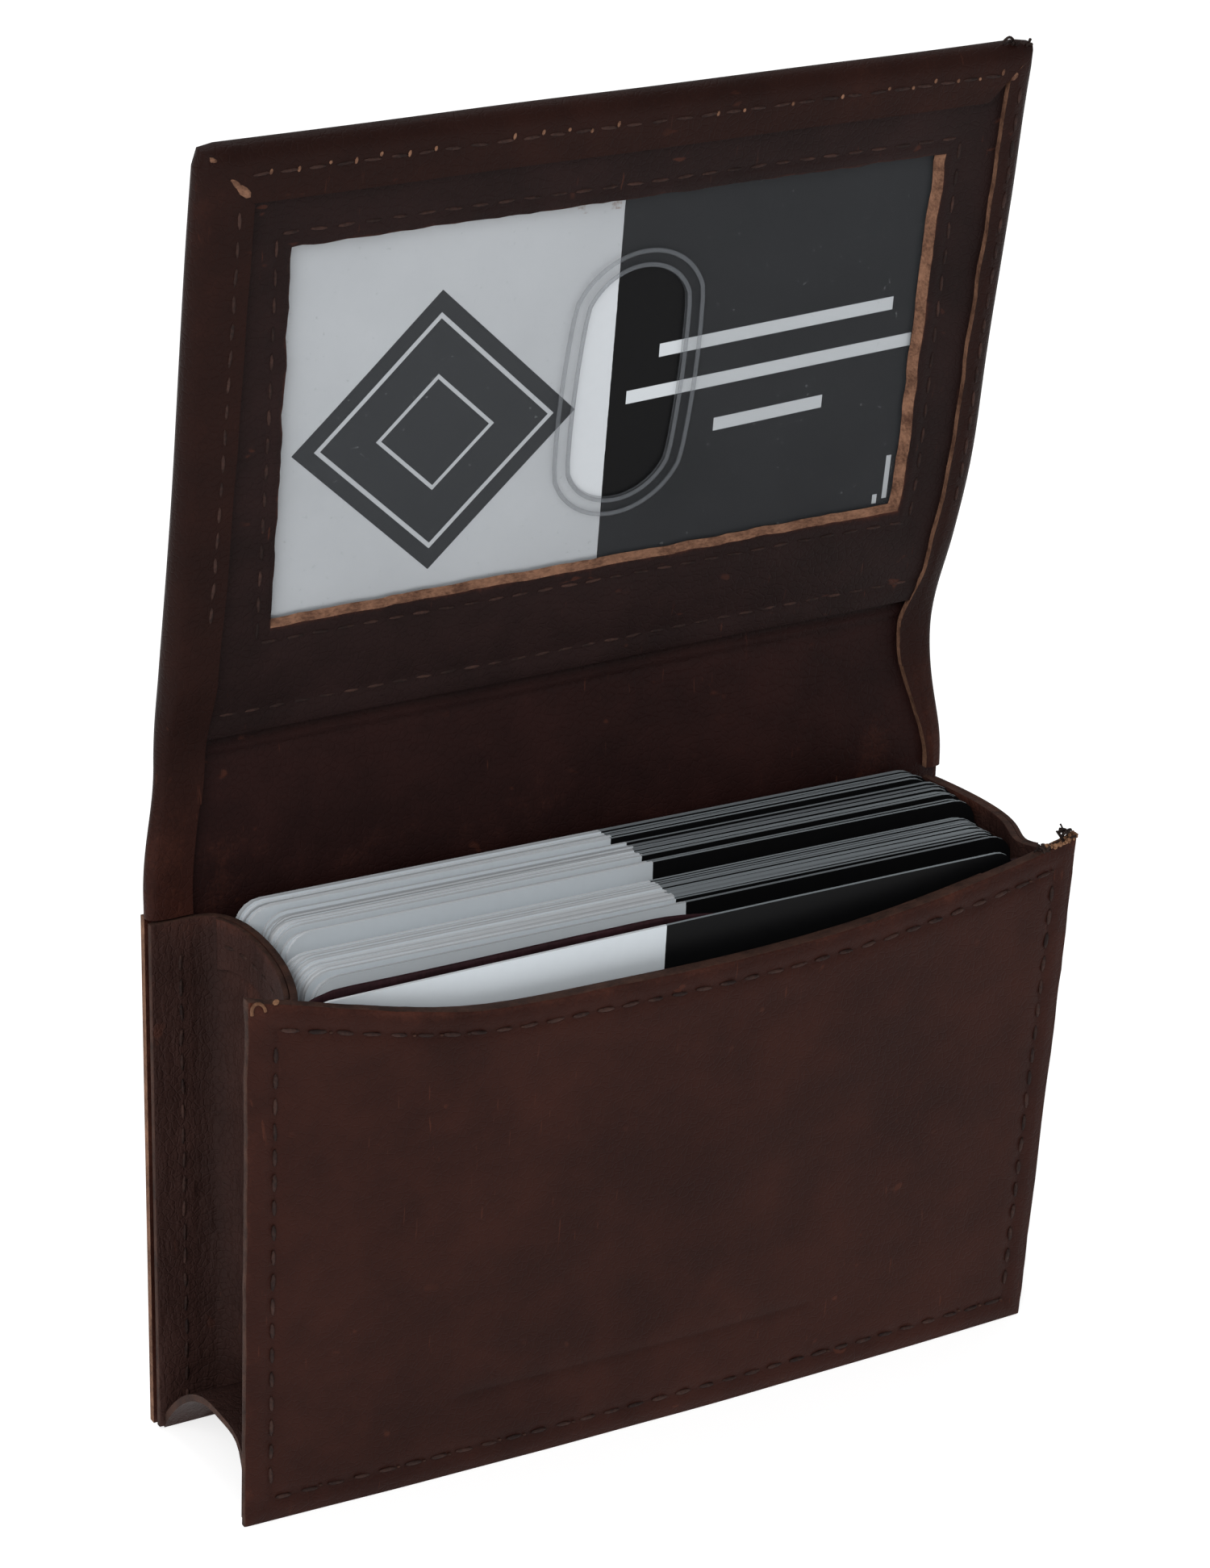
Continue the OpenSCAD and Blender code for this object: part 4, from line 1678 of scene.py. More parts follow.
@dataclass
class Gussets(Assembly):
    """The folding side walls and the arched bottom; sizes in millimetres."""

    back_y: float = 23.45
    left_root: float = -46.4
    right_root: float = 48.9
    outer_face: float = 0.45
    inner_face: float = -0.4
    hem_face: float = 1.1

    def front_y(self, x: float, z: float) -> float:
        """Return how deep the leaning front's inner face stands at a height."""
        point = self.places.front(x, z, 1.7)
        return point.y / MM - self.places.front_foot

    def left_line(self, q: float, z: float) -> tuple[float, float]:
        """Return x and y of the left wall's middle; q is -1 to 0 on its rear margin, then to 1 at the front.

        Args:
            q: Place from the rear margin to the front.
            z: Height in millimetres.

        Returns:
            Its x and y in millimetres.
        """
        if q < 0.0:
            return mix(self.left_root, -51.3, -q), self.back_y
        fold = 4.6 * max(0.0, math.sin(math.pi * min(q, 1.0) ** 0.55)) ** 0.7
        fold *= 1.0 + 0.05 * drift(q * 20, z, 1.1, 14.0)
        x = self.left_root + fold + 0.25 * drift(q * 18, z, 6.1, 9.0)
        return x, mix(self.back_y, self.front_y(x, z), q)

    def right_line(self, q: float, z: float) -> tuple[float, float]:
        """Return x and y of the right wall's middle; q is 0 at the back and 1 at the front.

        Args:
            q: Share of the depth.
            z: Height in millimetres.

        Returns:
            Its x and y in millimetres.
        """
        push = 1.2 * math.sin(math.pi * q) - 1.8 * math.sin(math.pi * q**4) ** 2
        x = self.right_root + push * mix(0.5, 1.0, z / 62.5) + 0.2 * drift(q * 18, z, 2.7, 9.0)
        return x, mix(self.back_y, self.front_y(x, z), q)

    def arch(self, q: float) -> float:
        """Return the height of the arched bottom at a share of its depth.

        Args:
            q: Share of the depth, from the back.

        Returns:
            The height in millimetres.
        """
        q = min(max(q, 0.0), 1.0)
        rise = math.sin(math.pi / 2 * min(1.0, q / 0.62)) ** 0.8
        fall = max(0.0, 1.0 - (max(0.0, q - 0.62) / 0.38) ** 7) ** 0.5
        return 0.2 + (self.sizes.arch_height - 0.3) * rise * fall

    def wall(self, line: Callable, side: int, low: float, high: float) -> Place:
        """Return the place rule of a wall.

        Args:
            line: Gives x and y of its middle.
            side: -1 for the left wall, 1 for the right.
            low: Offset of its outer face from the middle, outwards.
            high: Offset of its inner face from the middle, outwards.

        Returns:
            The rule; its v is a share of the wall's height.
        """

        def place(q: float, t: float, layer: float) -> Vector:
            """Return a point of the wall.

            Args:
                q: Place along the wall's line.
                t: Share of the wall's height.
                layer: 0 on the outer face, 1 on the inner.

            Returns:
                The point in metres.
            """
            foot = 0.3 if q < 0 else mix(0.3, self.arch(q) + 0.55, ease(q / 0.12))
            z = mix(foot, self.sizes.gusset_height - (0.7 if side > 0 else 0.0), t)
            x, y = line(q, z)
            ax, ay = line(max(q - 0.02, -1.0), z)
            bx, by = line(min(q + 0.02, 1.0), z)
            dx, dy = bx - ax, by - ay
            size = math.hypot(dx, dy) or 1.0
            nx, ny = -dy / size, dx / size
            if nx * side < 0 or (abs(nx) < 0.2 and ny > 0 > side):
                nx, ny = -nx, -ny
            if q < 0.0:
                nx, ny = mix(nx, 0.0, min(1.0, -q * 4)), mix(ny, -1.0, min(1.0, -q * 4))
            offset = mix(low, high, layer)
            return self.places.case(x + nx * offset, y + ny * offset, z)

        return place

    def build_walls(self) -> None:
        """Build both walls with their turned hems and stitches."""
        ts = [0.0, 0.02] + [i / 34 for i in range(1, 32)] + [0.93, 0.95, 0.965, 0.98, 0.992, 1.0]
        fold_qs = [0.0, 0.015, 0.03, 0.05] + [i / 28 for i in range(2, 28)] + [0.985, 1.0]
        left_qs = [-1.0, -0.9, -0.7, -0.5, -0.35, -0.2, -0.1, -0.04] + fold_qs
        finish = [self.palette.gusset, self.palette.dull]

        def wear(p: Vector) -> float:
            """Return how worn a point is: along the top and down the fold."""
            return 0.3 * ease((p[1] - 0.93) / 0.07) + 0.35 * bell(p[0] - 0.3, 0.12) + 0.1

        def shade(p: Vector) -> float:
            """Return the painted shade of a point: at the back and beside the front, in the corners."""
            return 0.35 * bell(p[0] - 0.02, 0.05) + 0.25 * bell(p[0] - 0.92, 0.08)

        walls = (("left", self.left_line, -1, left_qs), ("right", self.right_line, 1, fold_qs))
        for name, line, side, qs in walls:
            rule = self.wall(line, side, self.outer_face, self.inner_face)
            wall = Sheet(f"{name}_gusset_leather", qs, ts, rule, 0.2, wear, shade)
            self.settle(wall.build(finish), self.front_bend, "gusset_leather", (f"{name}_gusset",))
        for name, line, side, _ in walls:
            rule = self.wall(line, side, self.hem_face, 0.47)
            qs = [0.04 + 0.9 * i / 26 for i in range(27)]
            rows = [0.9, 0.904, 0.93, 0.95, 0.97, 0.985, 0.996, 1.0]
            hem = Sheet(f"{name}_gusset_turned_hem", qs, rows, rule, 0.22,
                        lambda p: 0.35 * ease((p[1] - 0.96) / 0.04) + 0.12)
            self.settle(hem.build(finish), self.front_bend, "gusset_leather", (f"{name}_gusset_hem",))
        rows = []
        row = 0.948
        for _, line, side, _ in walls:
            outside = self.wall(line, side, 1.0, 1.0)
            for i in range(7):
                q = 0.12 + 0.76 * i / 6
                at = outside(q, row, 0.0)
                heading = (outside(q + 0.02, row, 0.0) - outside(q - 0.02, row, 0.0)).normalized()
                outward = heading.cross(Vector((0, 0, 1))).normalized()
                if outward.x * side < 0:
                    outward = -outward
                rows.append((at, heading, outward))
        piece = Seam("gusset_hem_stitches", rows, radius=0.22).build(self.palette.thread)
        self.settle(piece, self.front_bend, "thread", ("gusset_hem_thread",))

    def build_margin_seam(self) -> None:
        """Build the stitches down the left wall's rear margin, which face forwards."""
        rows = []
        for i in range(19):
            z = 3.5 + 3.0 * i
            at = self.places.case(-47.9 + 0.15 * drift(0.0, z, 1.0, 5.0), self.back_y - 0.45, z)
            rows.append((at, Vector((0, 0, 1)), Vector((0, -1, 0))))
        piece = Seam("left_margin_stitches", rows, radius=0.22, seed=12).build(self.palette.thread)
        self.settle(piece, Follow("case"), "thread")

    def build_bottom(self) -> None:
        """Build the arched bottom."""

        def place(x: float, q: float, layer: float) -> Vector:
            """Return a point of the bottom.

            Args:
                x: Millimetres right of the middle.
                q: Share of the depth.
                layer: 0 on the lower face, 1 on the upper.

            Returns:
                The point in metres.
            """
            y0, y1 = self.back_y, self.front_y(x, 5.0)
            z = self.arch(q)
            y = mix(y0, y1, q)
            za, zb = self.arch(q - 0.01), self.arch(q + 0.01)
            dy, dz = (y1 - y0) * 0.02, zb - za
            size = math.hypot(dy, dz) or 1.0
            ny, nz = dz / size, -dy / size
            offset = mix(-0.4, 0.4, layer)
            wave = 0.25 * drift(x, q * 20, 5.5, 14.0)
            return self.places.case(x, y + ny * offset, max(0.05, z + nz * offset + wave * (0.1 < q < 0.9)))

        qs = [0.0, 0.004, 0.012, 0.03, 0.06, 0.1] + [i / 20 for i in range(3, 18)]
        qs += [0.9, 0.94, 0.97, 0.988, 0.996, 1.0]
        # Painted shade: the whole bottom strip is darkened by a constant 0.3.
        sheet = Sheet("bottom_gusset_leather", stations(-50.7, 50.7, 3.5, (0.4, 1.2)), qs, place, 0.0,
                      lambda p: 0.15, lambda p: 0.3)
        piece = sheet.build([self.palette.gusset, self.palette.dull])
        self.settle(piece, self.front_bend, "gusset_leather", ("bottom_gusset",))


# ---------- front ----------


@dataclass
class Front(Assembly):
    """The front panel with its hem, margins, pocket divider and stitches; sizes in millimetres."""

    near: tuple = (0.35, 0.9, 1.5, 2.1, 2.6, 3.0, 3.4, 3.9, 4.6)
    rule_height: float = 10.6
    rule_half: float = 23.0
    rule_depth: float = 0.16

    def top(self, x: float) -> float:
        """Return how far the concave top edge dips at a place."""
        return self.sizes.dip * max(0.0, 1.0 - (x / 51.5) ** 2) + 1.3 * bell(x + 27.0, 14.0)

    def skin(self, x: float, v: float, n: float) -> Vector:
        """Return a point of the front; v runs from 0 to the full height at the top edge.

        Args:
            x: Millimetres right of the middle.
            v: Millimetres up the front.
            n: Millimetres inwards.

        Returns:
            The point in metres.
        """
        share = v / self.sizes.height
        u = v - self.top(x) * share**1.6 - 0.0135 * x * share
        spread = 1.0 + 0.008 * share if x < 0.0 else 0.99 + 0.024 * share
        return self.places.front(x * spread, u, n)

    def panel_place(self, x: float, v: float, layer: float) -> Vector:
        """Return a point of the front panel.

        Args:
            x: Millimetres right of the middle.
            v: Millimetres up the front.
            layer: 0 on the outer face, 1 on the inner.

        Returns:
            The point in metres.
        """
        s = self.sizes
        edge = min(s.width / 2 - abs(x), v, s.height - v)
        dent = 0.15 * bell(edge - s.seam, 0.55) + 0.1 * bell(edge, 0.8)
        puff = -0.12 * bell(edge - 1.4, 0.8) - 0.1 * bell(edge - 5.0, 1.5)
        ripple = 0.1 * math.sin((x + v) * 2 * math.pi / s.pitch) * bell(edge - s.seam, 1.2)
        rag = 0.14 * drift(x, v, 9.0, 6.0) + 0.06 * drift(x, v, 12.0, 1.5)
        sx = x + rag * bell(s.width / 2 - abs(x), 1.0)
        sv = v + rag * bell(s.height - v, 1.0)
        rule = self.rule_depth * self.mark(x, v)
        back = s.leather + 0.35 * ease((v - 60.5) / 3.0)
        return self.skin(sx, sv, mix(dent + puff + ripple + rule, back, layer))

    def mark(self, x: float, v: float) -> float:
        """Return the depth share of the plain debossed rule near the panel's foot."""
        return bell(v - self.rule_height, 0.42) * ease((self.rule_half - abs(x + 3.5)) / 1.2)

    def build_panel(self) -> None:
        """Build the front panel with its hem and margins."""
        s = self.sizes
        follow = Follow("front")
        half = s.width / 2
        vs = stations(0.0, s.height, 1.6, self.near)
        vs = sorted(vs + [10.2, self.rule_height, 11.0])

        def wear(p: Vector) -> float:
            """Return how worn a point is: most along the top, less at the sides and the foot."""
            sides = 0.3 * bell(half - abs(p[0]), 1.0) + 0.22 * bell(p[1], 0.8) + 0.07
            return 0.4 * bell(s.height - p[1], 1.4) + sides

        def shade(p: Vector) -> float:
            """Return the painted shade of a point: in the seams' groove and in the pressed rule."""
            edge = min(half - abs(p[0]), p[1], s.height - p[1])
            return 0.22 * bell(edge - s.seam, 0.3) + 0.22 * self.mark(p[0], p[1])

        xs = stations(-half, half, 1.7, self.near)
        panel = Sheet("front_leather", xs, vs, self.panel_place, 0.22, wear, shade)
        piece = panel.build([self.palette.outer, self.palette.dull])
        self.settle(piece, follow, "outer_leather", ("front_panel",))

        def hem(x: float, w: float, layer: float) -> Vector:
            """Return a point of the hem; w is measured down from the top edge."""
            return self.skin(x, s.height - w, mix(2.0, 1.48, layer))

        turned = Sheet("front_top_turned_hem", stations(-39.0, 39.0, 3.0), [0.25, 0.6, 1.5, 3.0, 4.5, 6.0],
                       hem, 0.15, lambda p: 0.25 * bell(p[1], 0.8))
        piece = turned.build([self.palette.inner, self.palette.dull])
        self.settle(piece, follow, "inner_leather", ("front_top_hem",))
        for name, side in (("left", -1), ("right", 1)):

            def flange(x: float, v: float, layer: float, side: int = side) -> Vector:
                """Return a point of the gusset's margin behind the panel."""
                return self.skin(side * x, v, mix(1.15, 1.95, layer))

            strip = Sheet(f"{name}_front_margin", [46.5, 46.9, 48.0, 49.5, 50.7, 51.1],
                          stations(0.35, 62.0, 3.0), flange, 0.2, lambda p: 0.25 * bell(51.1 - p[0], 0.8))
            piece = strip.build([self.palette.gusset, self.palette.dull])
            self.settle(piece, follow, "gusset_leather", (f"{name}_front_flange",))

    def build_divider(self) -> None:
        """Build the divider behind the front pocket; its top edge stands proud on the left."""

        def place(x: float, v: float, layer: float) -> Vector:
            """Return a point of the divider.

            Args:
                x: Millimetres right of the middle.
                v: Millimetres up the front.
                layer: 0 on the outer face, 1 on the inner.

            Returns:
                The point in metres.
            """
            lift = 0.8 + 0.5 * ease((x + 38.0) / 36.0) - 2.4 * ease((x + 3.0) / 20.0)
            lift -= 1.6 * bell(x + 46.0, 3.0)
            u = v + lift * ease(v / 62.0)
            lean = 0.25 * drift(x, v, 3.3, 12.0)
            return self.places.front(x, u, mix(2.5, 2.95, layer) + 0.15 * ease(v / 62.0) + lean * 0.3, 0.3)

        sheet = Sheet("pocket_divider_cloth", stations(-46.0, 46.0, 2.0, (0.4, 1.0)),
                      stations(0.4, 61.8, 3.0, (0.3, 0.8, 1.6)), place, 0.15, lambda p: 0.1)
        piece = sheet.build([self.palette.divider, self.palette.divider])
        self.settle(piece, Follow("front"), "divider_cloth", ("pocket_divider",))

    def build_threads(self) -> None:
        """Build the stitches round the front panel."""
        s = self.sizes
        half = s.width / 2 - s.seam

        def face(x: float, v: float, n: float) -> Vector:
            """Return a point on the panel's outer face."""
            return self.skin(x, v, n + 0.12)

        top = Seam.along(lambda t: (mix(-half, half, t), s.height - s.seam, 0.0), face, 32)
        sides = Seam.along(lambda t: (-half, mix(s.seam + 1.5, s.height - 4.5, t), 0.0), face, 18)
        sides += Seam.along(lambda t: (half, mix(s.seam + 1.5, s.height - 4.5, t), 0.0), face, 18)
        low = Seam.along(lambda t: (mix(-half, half, t), s.seam, 0.0), face, 31)
        for name, rows, seed in (("top", top, 5), ("side", sides, 6), ("bottom", low, 7)):
            piece = Seam(f"front_{name}_stitches", rows, seed=seed).build(self.palette.thread)
            self.settle(piece, Follow("front"), "thread", (f"front_{name}_thread",))


# ---------- cards ----------


@dataclass(frozen=True)
class Bundle:
    """One bundle of cards: its CAD node, its body and how its cards are grouped from the back."""

    node: str
    body: str
    count: int
    loose: int
    seed: int
    spread: float = 0.35
    back: float = 0.9
    across: float = 0.0


@dataclass
class Cards(Assembly):
    """Every loose card in the case; sizes in millimetres."""

    thick: float = 0.34
    pitch: float = 0.38
    wide: float = 89.0
    tall: float = 51.0
    corner: float = 3.0

    def add(self, bm: BMesh, low: Vector, tone: float, turn: float) -> None:
        """Add one card with round corners.

        Args:
            bm: The mesh to add to.
            low: Its lowest corner in millimetres.
            tone: How grey its cut edge is.
            turn: Degrees it is turned about its middle, seen from the front.
        """
        side, rise = bm.verts.layers.float["side"], bm.verts.layers.float["rise"]
        shade = bm.verts.layers.float["tone"]
        middle = low + Vector((self.wide / 2, 0.0, self.tall / 2))
        stand = Matrix.Rotation(math.radians(90), 4, "X")
        size = Matrix.Diagonal((self.wide * MM, self.tall * MM, 1.0, 1.0))
        lie = Matrix.Translation(middle * MM) @ Matrix.Rotation(math.radians(turn), 4, "Y") @ stand @ size
        made = bmesh.ops.create_grid(bm, x_segments=1, y_segments=1, size=0.5, matrix=lie)["verts"]
        Mesher.round_corners(bm, made, self.corner, 5)
        bm.faces.ensure_lookup_table()
        face = bm.faces[-1]
        fresh = Mesher.extruded(bm, [face])
        bmesh.ops.translate(bm, verts=fresh, vec=Vector((0.0, self.thick * MM, 0.0)))
        whole = set(fresh) | set(face.verts)
        for vert in whole:
            vert[side] = vert.co.x / MM - middle.x - 0.9
            vert[rise] = vert.co.z / MM - low.z
            vert[shade] = tone
        around = {f for v in fresh for f in v.link_faces}
        for f in around:
            if 0 < sum(v in set(face.verts) for v in f.verts) < len(f.verts):
                f.material_index = 1

    def build_bundles(self) -> None:
        """Build the three bundles, card by card."""
        rows = (
            Bundle("rear_cards", "rear_bundle", 8, 0, 21),
            Bundle("middle_cards", "middle_bundle", 12, 2, 22),
            Bundle("front_cards", "front_bundle", 16, 2, 23, 0.3, 0.35, 0.6),
        )
        for row in rows:
            rng = random.Random(row.seed)
            low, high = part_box(row.node)
            low, high = low / MM, high / MM
            back = Vector((row.across, row.back, 0.0))
            low, high = low + back, high + back
            bm = Mesher.fresh()
            places = [low.y + i * self.pitch for i in range(row.loose)]
            places += [high.y - self.thick - i * self.pitch for i in range(row.count)]
            for y in places:
                x = low.x + rng.uniform(-1, 1) * row.spread
                z = low.z + rng.uniform(-0.7, 0.3) * row.spread
                self.add(bm, Vector((x, y, z)), rng.uniform(0.0, 1.0) ** 1.5, rng.uniform(-0.16, 0.16))
            bmesh.ops.recalc_face_normals(bm, faces=bm.faces[:])
            finish = [self.palette.card, self.palette.card_edge]
            piece = Mesher.to_object(bm, f"{row.body}_of_cards", finish, 30.0)
            self.settle(piece, Follow(row.body), "printed_card", (row.node,))

    def build_pocket_card(self) -> None:
        """Build the card in the front pocket, which bows with the panel."""
        half = self.wide / 2
        turn = math.radians(0.5)

        def place(x: float, z: float, layer: float) -> Vector:
            """Return a point of the card.

            Args:
                x: Millimetres right of the card's middle.
                z: Millimetres above its lower edge.
                layer: 0 on the outer face, 1 on the inner.

            Returns:
                The point in metres.
            """
            return self.places.front(
                0.4 + x - (z - 25.0) * math.sin(turn),
                11.65 + z + x * math.sin(turn) - 0.55 * (x / 42.0) ** 2,
                mix(2.0, 2.34, layer),
                0.4,
            )

        bm = Mesher.fresh()
        Mesher.lay(bm, place, 0.0, Mesher.grid(bm, stations(-half, half, 3.6), stations(0.0, self.tall, 4.0)))
        corners = [v for v in bm.verts if len(v.link_edges) == 2]
        Mesher.round_corners(bm, corners, 2.6, 5)
        fresh = Mesher.extruded(bm, bm.faces)
        bmesh.ops.translate(bm, verts=fresh, vec=self.places.front_in * self.thick * MM)
        Mesher.mark_rims(bm, fresh)
        side, rise, tone = (bm.verts.layers.float[n] for n in ("side", "rise", "tone"))
        for vert in bm.verts:
            vert[side] = vert.co.x / MM + 1.6
            vert[rise] = vert.co.z / MM
            vert[tone] = -0.6
        piece = Mesher.to_object(bm, "pocket_card_print", [self.palette.card, self.palette.card_edge], 30.0)
        self.settle(piece, Follow("spare_card"), "printed_card", ("pocket_card",))


# ---------- threads and wear at the corners ----------


@dataclass(frozen=True)
class Tuft:
    """One bunch of loose strands; sizes in millimetres."""

    root: Vector
    count: int
    length: float
    seed: int
    width: float = 0.7
    curl: float = 0.5


@dataclass
class Trimmings(Assembly):
    """Loose thread ends, pricked holes and the worn mitres."""

    def strands(self, name: str, tufts: Sequence[Tuft], material: Material, follow: Follow,
                thick: float = 0.13) -> None:
        """Build bunches of short bent strands.

        Args:
            name: The piece's name.
            tufts: The bunches.
            material: Their finish.
            follow: What they move with.
            thick: Radius in millimetres.
        """
        bm = Mesher.fresh()
        for tuft in tufts:
            rng = random.Random(tuft.seed)
            for _ in range(tuft.count):
                heading = Vector((rng.uniform(-0.9, 0.9), rng.uniform(-0.7, 0.3), rng.uniform(0.2, 1.0)))
                heading.normalize()
                bend = Vector((rng.uniform(-1, 1), rng.uniform(-1, 1), rng.uniform(-0.8, 0.3))) * tuft.curl
                start = Vector((rng.uniform(-1, 1) * tuft.width, rng.uniform(-0.4, 0.4), 0.0))
                points = [tuft.root + start * MM]
                for i in range(4):
                    step = (heading + bend * i * 0.45).normalized() * tuft.length / 4
                    points.append(points[-1] + step * MM)
                Mesher.tube(bm, points, thick * rng.uniform(0.7, 1.3) * MM, 5)
        piece = Mesher.to_object(bm, name, [material], 70.0)
        self.settle(piece, follow, "thread")

    def loop(self, name: str, points: Sequence[Vector], material: Material, follow: Follow,
             thick: float) -> None:
        """Build one loop of thread.

        Args:
            name: The piece's name.
            points: The places it passes through.
            material: Its finish.
            follow: What it moves with.
            thick: Radius in millimetres.
        """
        bm = Mesher.fresh()
        Mesher.tube(bm, points, thick * MM, 6)
        self.settle(Mesher.to_object(bm, name, [material], 70.0), follow, "thread")

    def flecks(self, name: str, spots: Sequence[tuple[Vector, Vector, float]], material: Material,
               follow: Follow) -> None:
        """Build small flat worn spots.

        Args:
            name: The piece's name.
            spots: For each its place, its long half in metres as a vector, and its half width in millimetres.
            material: Their finish.
            follow: What they move with.
        """
        bm = Mesher.fresh()
        for at, long, half in spots:
            heading = long.normalized()
            outward = Vector((0.0, -1.0, 0.0))
            third = outward.cross(heading).normalized()
            turn = Matrix((heading, third, outward)).transposed().to_4x4()
            size = Matrix.Diagonal((long.length, half * MM, 0.16 * MM, 1.0))
            bmesh.ops.create_uvsphere(bm, u_segments=8, v_segments=5, radius=1.0,
                                      matrix=Matrix.Translation(at) @ turn @ size)
        bmesh.ops.recalc_face_normals(bm, faces=bm.faces[:])
        piece = Mesher.to_object(bm, name, [material], 80.0)
        self.settle(piece, follow, "thread")

    def build(self) -> None:
        """Build all the trimmings."""
        p = self.places
        front_follow, flap_follow = Follow("front"), Follow("flap")
        skin = Front(self.sizes, self.places, self.palette).skin
        dark = (
            Tuft(skin(46.9, 63.8, 0.6), 10, 1.0, 3, 0.3, 1.1),
            Tuft(skin(48.5, 64.1, 0.6), 5, 0.7, 4, 0.4, 1.3),
            Tuft(skin(49.7, 64.1, 0.6), 5, 1.5, 5, 0.2, 0.2),
            Tuft(skin(49.6, 65.2, 0.6), 12, 0.85, 6, 0.5, 1.8),
        )
        spots = enumerate(stations(47.9, 51.4, 0.7))
        tan = [Tuft(skin(x, 63.95, 0.5), 6, 0.75, 40 + i, 0.5, 1.2) for i, x in spots]
        self.strands("right_corner_frays", dark, self.palette.dark_thread, front_follow, 0.15)
        self.strands("right_corner_tan_frays", tan, self.palette.tan_thread, front_follow, 0.17)
        angles = [math.radians(200 - 190 * i / 8) for i in range(9)]
        way = [skin(-50.5 + 0.75 * math.cos(a), 63.0 + 1.05 * math.sin(a), -0.2) for a in angles]
        self.loop("left_corner_loop", way, self.palette.tan_thread, front_follow, 0.19)
        self.flecks("left_corner_knot", [(skin(-48.6, 64.3, -0.1), Vector((0.0004, 0, 0.0001)), 0.34)],
                    self.palette.tan_thread, front_follow)
        rng = random.Random(31)
        spots = []
        for i in range(30):
            x = mix(-44.5, 45.0, (i + 0.5) / 30)
            if rng.random() < 0.8:
                at = p.back(x + rng.uniform(-0.3, 0.3) + 1.2, 149.1 + rng.uniform(-0.1, 0.5), 3.7)
                spots.append((at, Vector((0.0001, 0.0, 0.00034 * rng.uniform(0.5, 1.2))), 0.19))
        self.flecks("hem_pricks", spots, self.palette.raw, flap_follow)
        a, b = p.back(-48.4, 151.2, 3.4), p.back(-44.2, 147.0, 3.74)
        heading = (b - a).normalized() * 0.0011
        seam = [(a.lerp(b, t), heading, mix(0.34, 0.6, t)) for t in (0.1, 0.35, 0.6, 0.85)]
        self.flecks("left_mitre_wear", seam, self.palette.raw, flap_follow)
        c, d = p.back(48.2, 150.4, 3.4), p.back(46.0, 148.2, 3.7)
        seam = [(c.lerp(d, t), (d - c).normalized() * 0.0008, 0.4) for t in (0.2, 0.7)]
        self.flecks("right_mitre_wear", seam, self.palette.raw, flap_follow)
        ends = (
            Tuft(p.back(48.2, 151.5, 2.4), 8, 0.8, 15, 0.5, 1.4),
            Tuft(p.back(46.4, 151.8, 2.4), 5, 0.9, 16, 0.4, 1.4),
        )
        self.strands("flap_corner_frays", ends, self.palette.dark_thread, flap_follow, 0.14)
        shares = [i / 8 for i in range(9)]
        arch = [p.back(mix(44.9, 47.0, t), 151.7 + 0.95 * math.sin(math.pi * t), 2.2) for t in shares]
        self.loop("flap_corner_loop", arch, self.palette.dark_thread, flap_follow, 0.16)
        prick = []
        for i in range(31):
            if rng.random() < 0.3:
                x = mix(-48.5, 48.5, (i + 0.5) / 31) + 1.3
                prick.append((skin(x, 3.1 + rng.uniform(-0.2, 0.2), 0.0), Vector((0.00022, 0, 0)), 0.12))
                prick.append((skin(x, 61.0, 0.0), Vector((0.00022, 0, 0)), 0.12))
        self.flecks("front_pricks", prick, self.palette.dull, front_follow)


# ---------- studio ----------


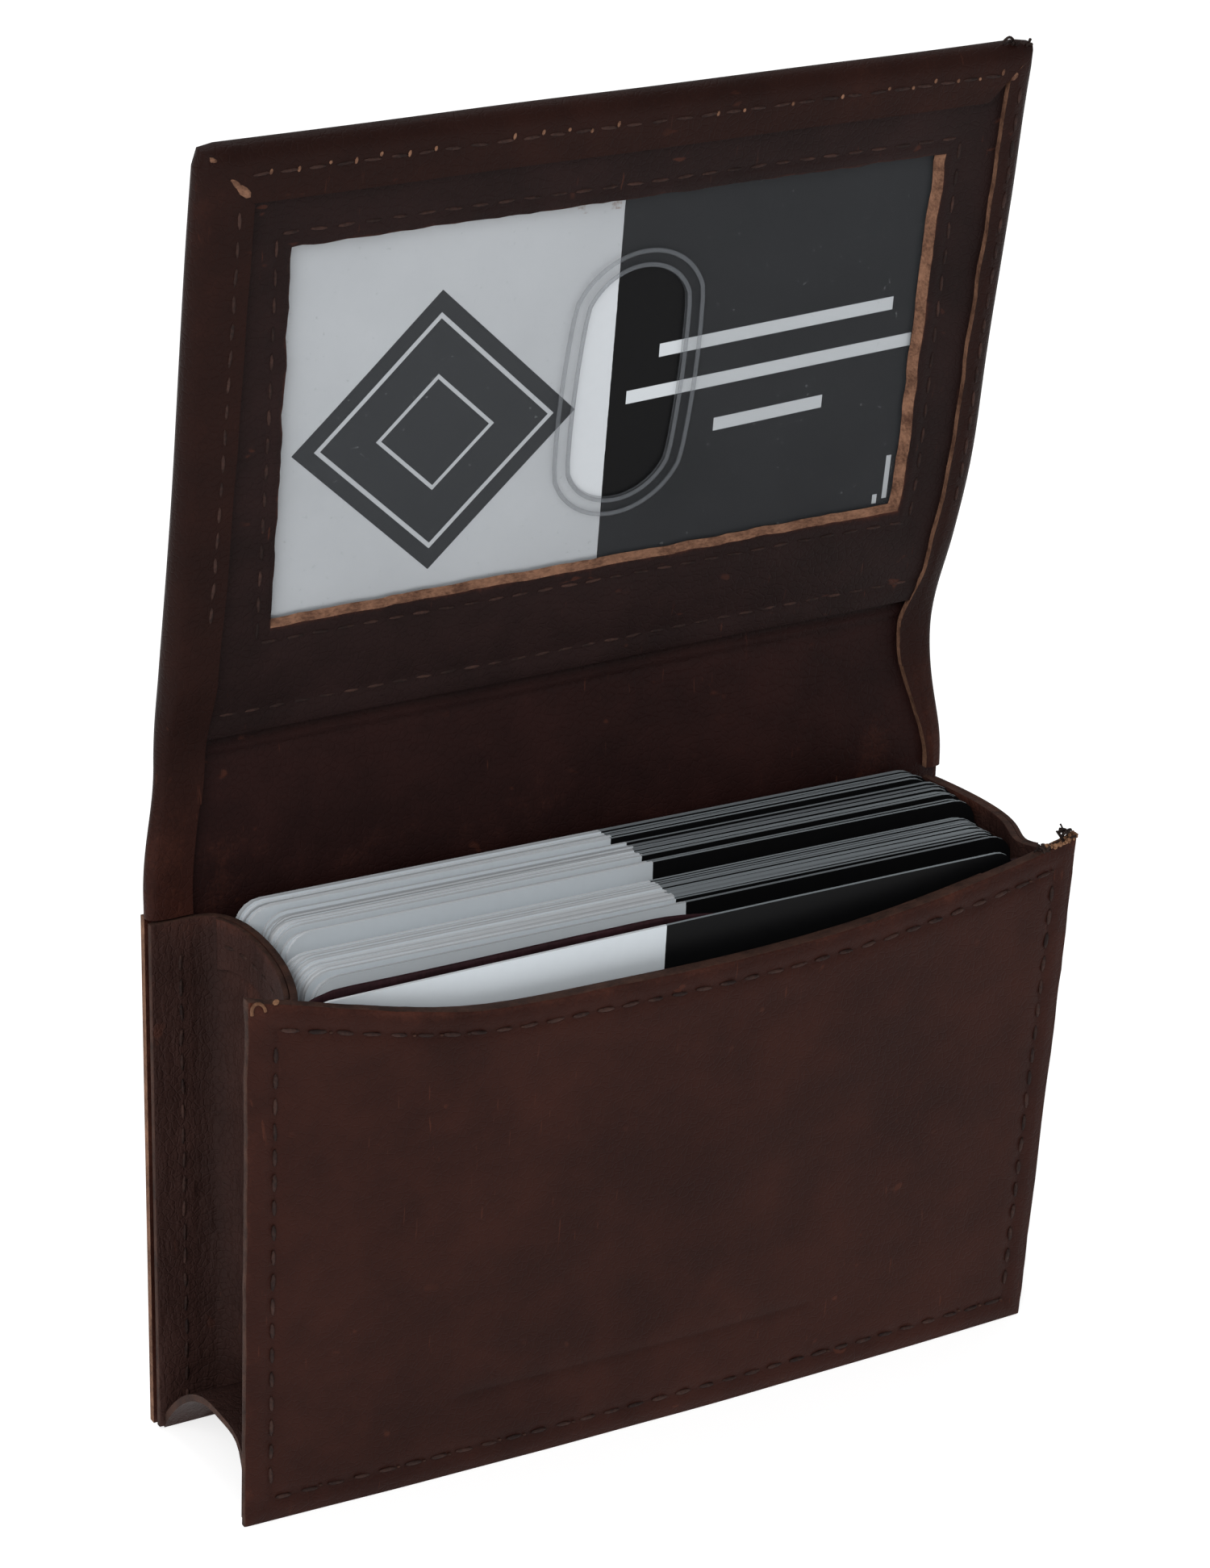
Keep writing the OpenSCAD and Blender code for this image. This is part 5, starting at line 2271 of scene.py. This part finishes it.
@dataclass(frozen=True)
class Studio:
    """Camera, floor and soft lights; sizes in millimetres and degrees."""

    azimuth: float = -30.23
    elevation: float = 22.28
    roll: float = 1.534
    distance: float = 449.1
    lens: float = 94.42
    aim: tuple = (-2.88, -0.743, 75.0)

    def camera(self) -> None:
        """Set up the camera."""
        a, e = math.radians(self.azimuth), math.radians(self.elevation)
        back = Vector((math.sin(a) * math.cos(e), -math.cos(a) * math.cos(e), math.sin(e)))
        turn = back.to_track_quat("Z", "Y").to_matrix()
        turn = Matrix.Rotation(math.radians(self.roll), 3, back) @ turn
        data = bpy.data.cameras.new("camera")
        data.lens = self.lens
        data.sensor_width = 36.0
        data.clip_start = 0.01
        data.clip_end = 50.0
        cam = bpy.data.objects.new("camera", data)
        cam.matrix_world = Matrix.Translation((Vector(self.aim) + back * self.distance) * MM) @ turn.to_4x4()
        bpy.context.scene.collection.objects.link(cam)
        bpy.context.scene.camera = cam

    def lamp(self, name: str, place: tuple, power: float, size: float) -> None:
        """Add one soft square lamp aimed at the case.

        Args:
            name: The lamp's name.
            place: Where it stands, in metres.
            power: Watts.
            size: Side in metres.
        """
        data = bpy.data.lights.new(name, "AREA")
        data.energy = power
        data.size = size
        lamp = bpy.data.objects.new(name, data)
        at = Vector(place)
        turn = (at - Vector((0, 0, 0.07))).to_track_quat("Z", "Y").to_matrix()
        lamp.matrix_world = Matrix.Translation(at) @ turn.to_4x4()
        bpy.context.scene.collection.objects.link(lamp)

    def build(self) -> None:
        """Build the studio."""
        self.camera()
        bm = Mesher.fresh()
        bmesh.ops.create_grid(bm, x_segments=8, y_segments=8, size=3.0)
        floor = Mesher.to_object(bm, "studio_floor", [FloorFinish().make()])
        world = bpy.data.worlds.new("studio")
        world.use_nodes = True
        shade = world.node_tree.nodes["Background"]
        shade.inputs[0].default_value = (1.0, 1.0, 1.0, 1.0)
        shade.inputs[1].default_value = 0.38
        bpy.context.scene.world = world
        self.lamp("key", (-0.75, -0.7, 0.8), 8.5, 0.8)
        self.lamp("fill", (0.8, -0.5, 0.5), 0.3, 0.9)
        self.lamp("top", (0.1, 0.5, 1.1), 4.0, 0.9)
        bpy.context.scene.view_settings.view_transform = "Standard"


def main() -> None:
    """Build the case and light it."""
    logging.basicConfig(level=logging.INFO, format="%(message)s")
    sizes = CaseSizes()
    places = CasePlaces(sizes)
    palette = Palette()
    outer = OuterLeather(sizes, places, palette)
    outer.build_back()
    outer.build_flap()
    outer.build_threads()
    inside = WindowFlap(sizes, places, palette)
    inside.build_lining()
    inside.build_frame()
    inside.build_clear()
    inside.build_card()
    inside.build_threads()
    gussets = Gussets(sizes, places, palette)
    gussets.build_walls()
    gussets.build_margin_seam()
    gussets.build_bottom()
    front = Front(sizes, places, palette)
    front.build_panel()
    front.build_divider()
    front.build_threads()
    cards = Cards(sizes, places, palette)
    cards.build_bundles()
    cards.build_pocket_card()
    Trimmings(sizes, places, palette).build()
    Studio().build()


if __name__ == "__main__":
    main()
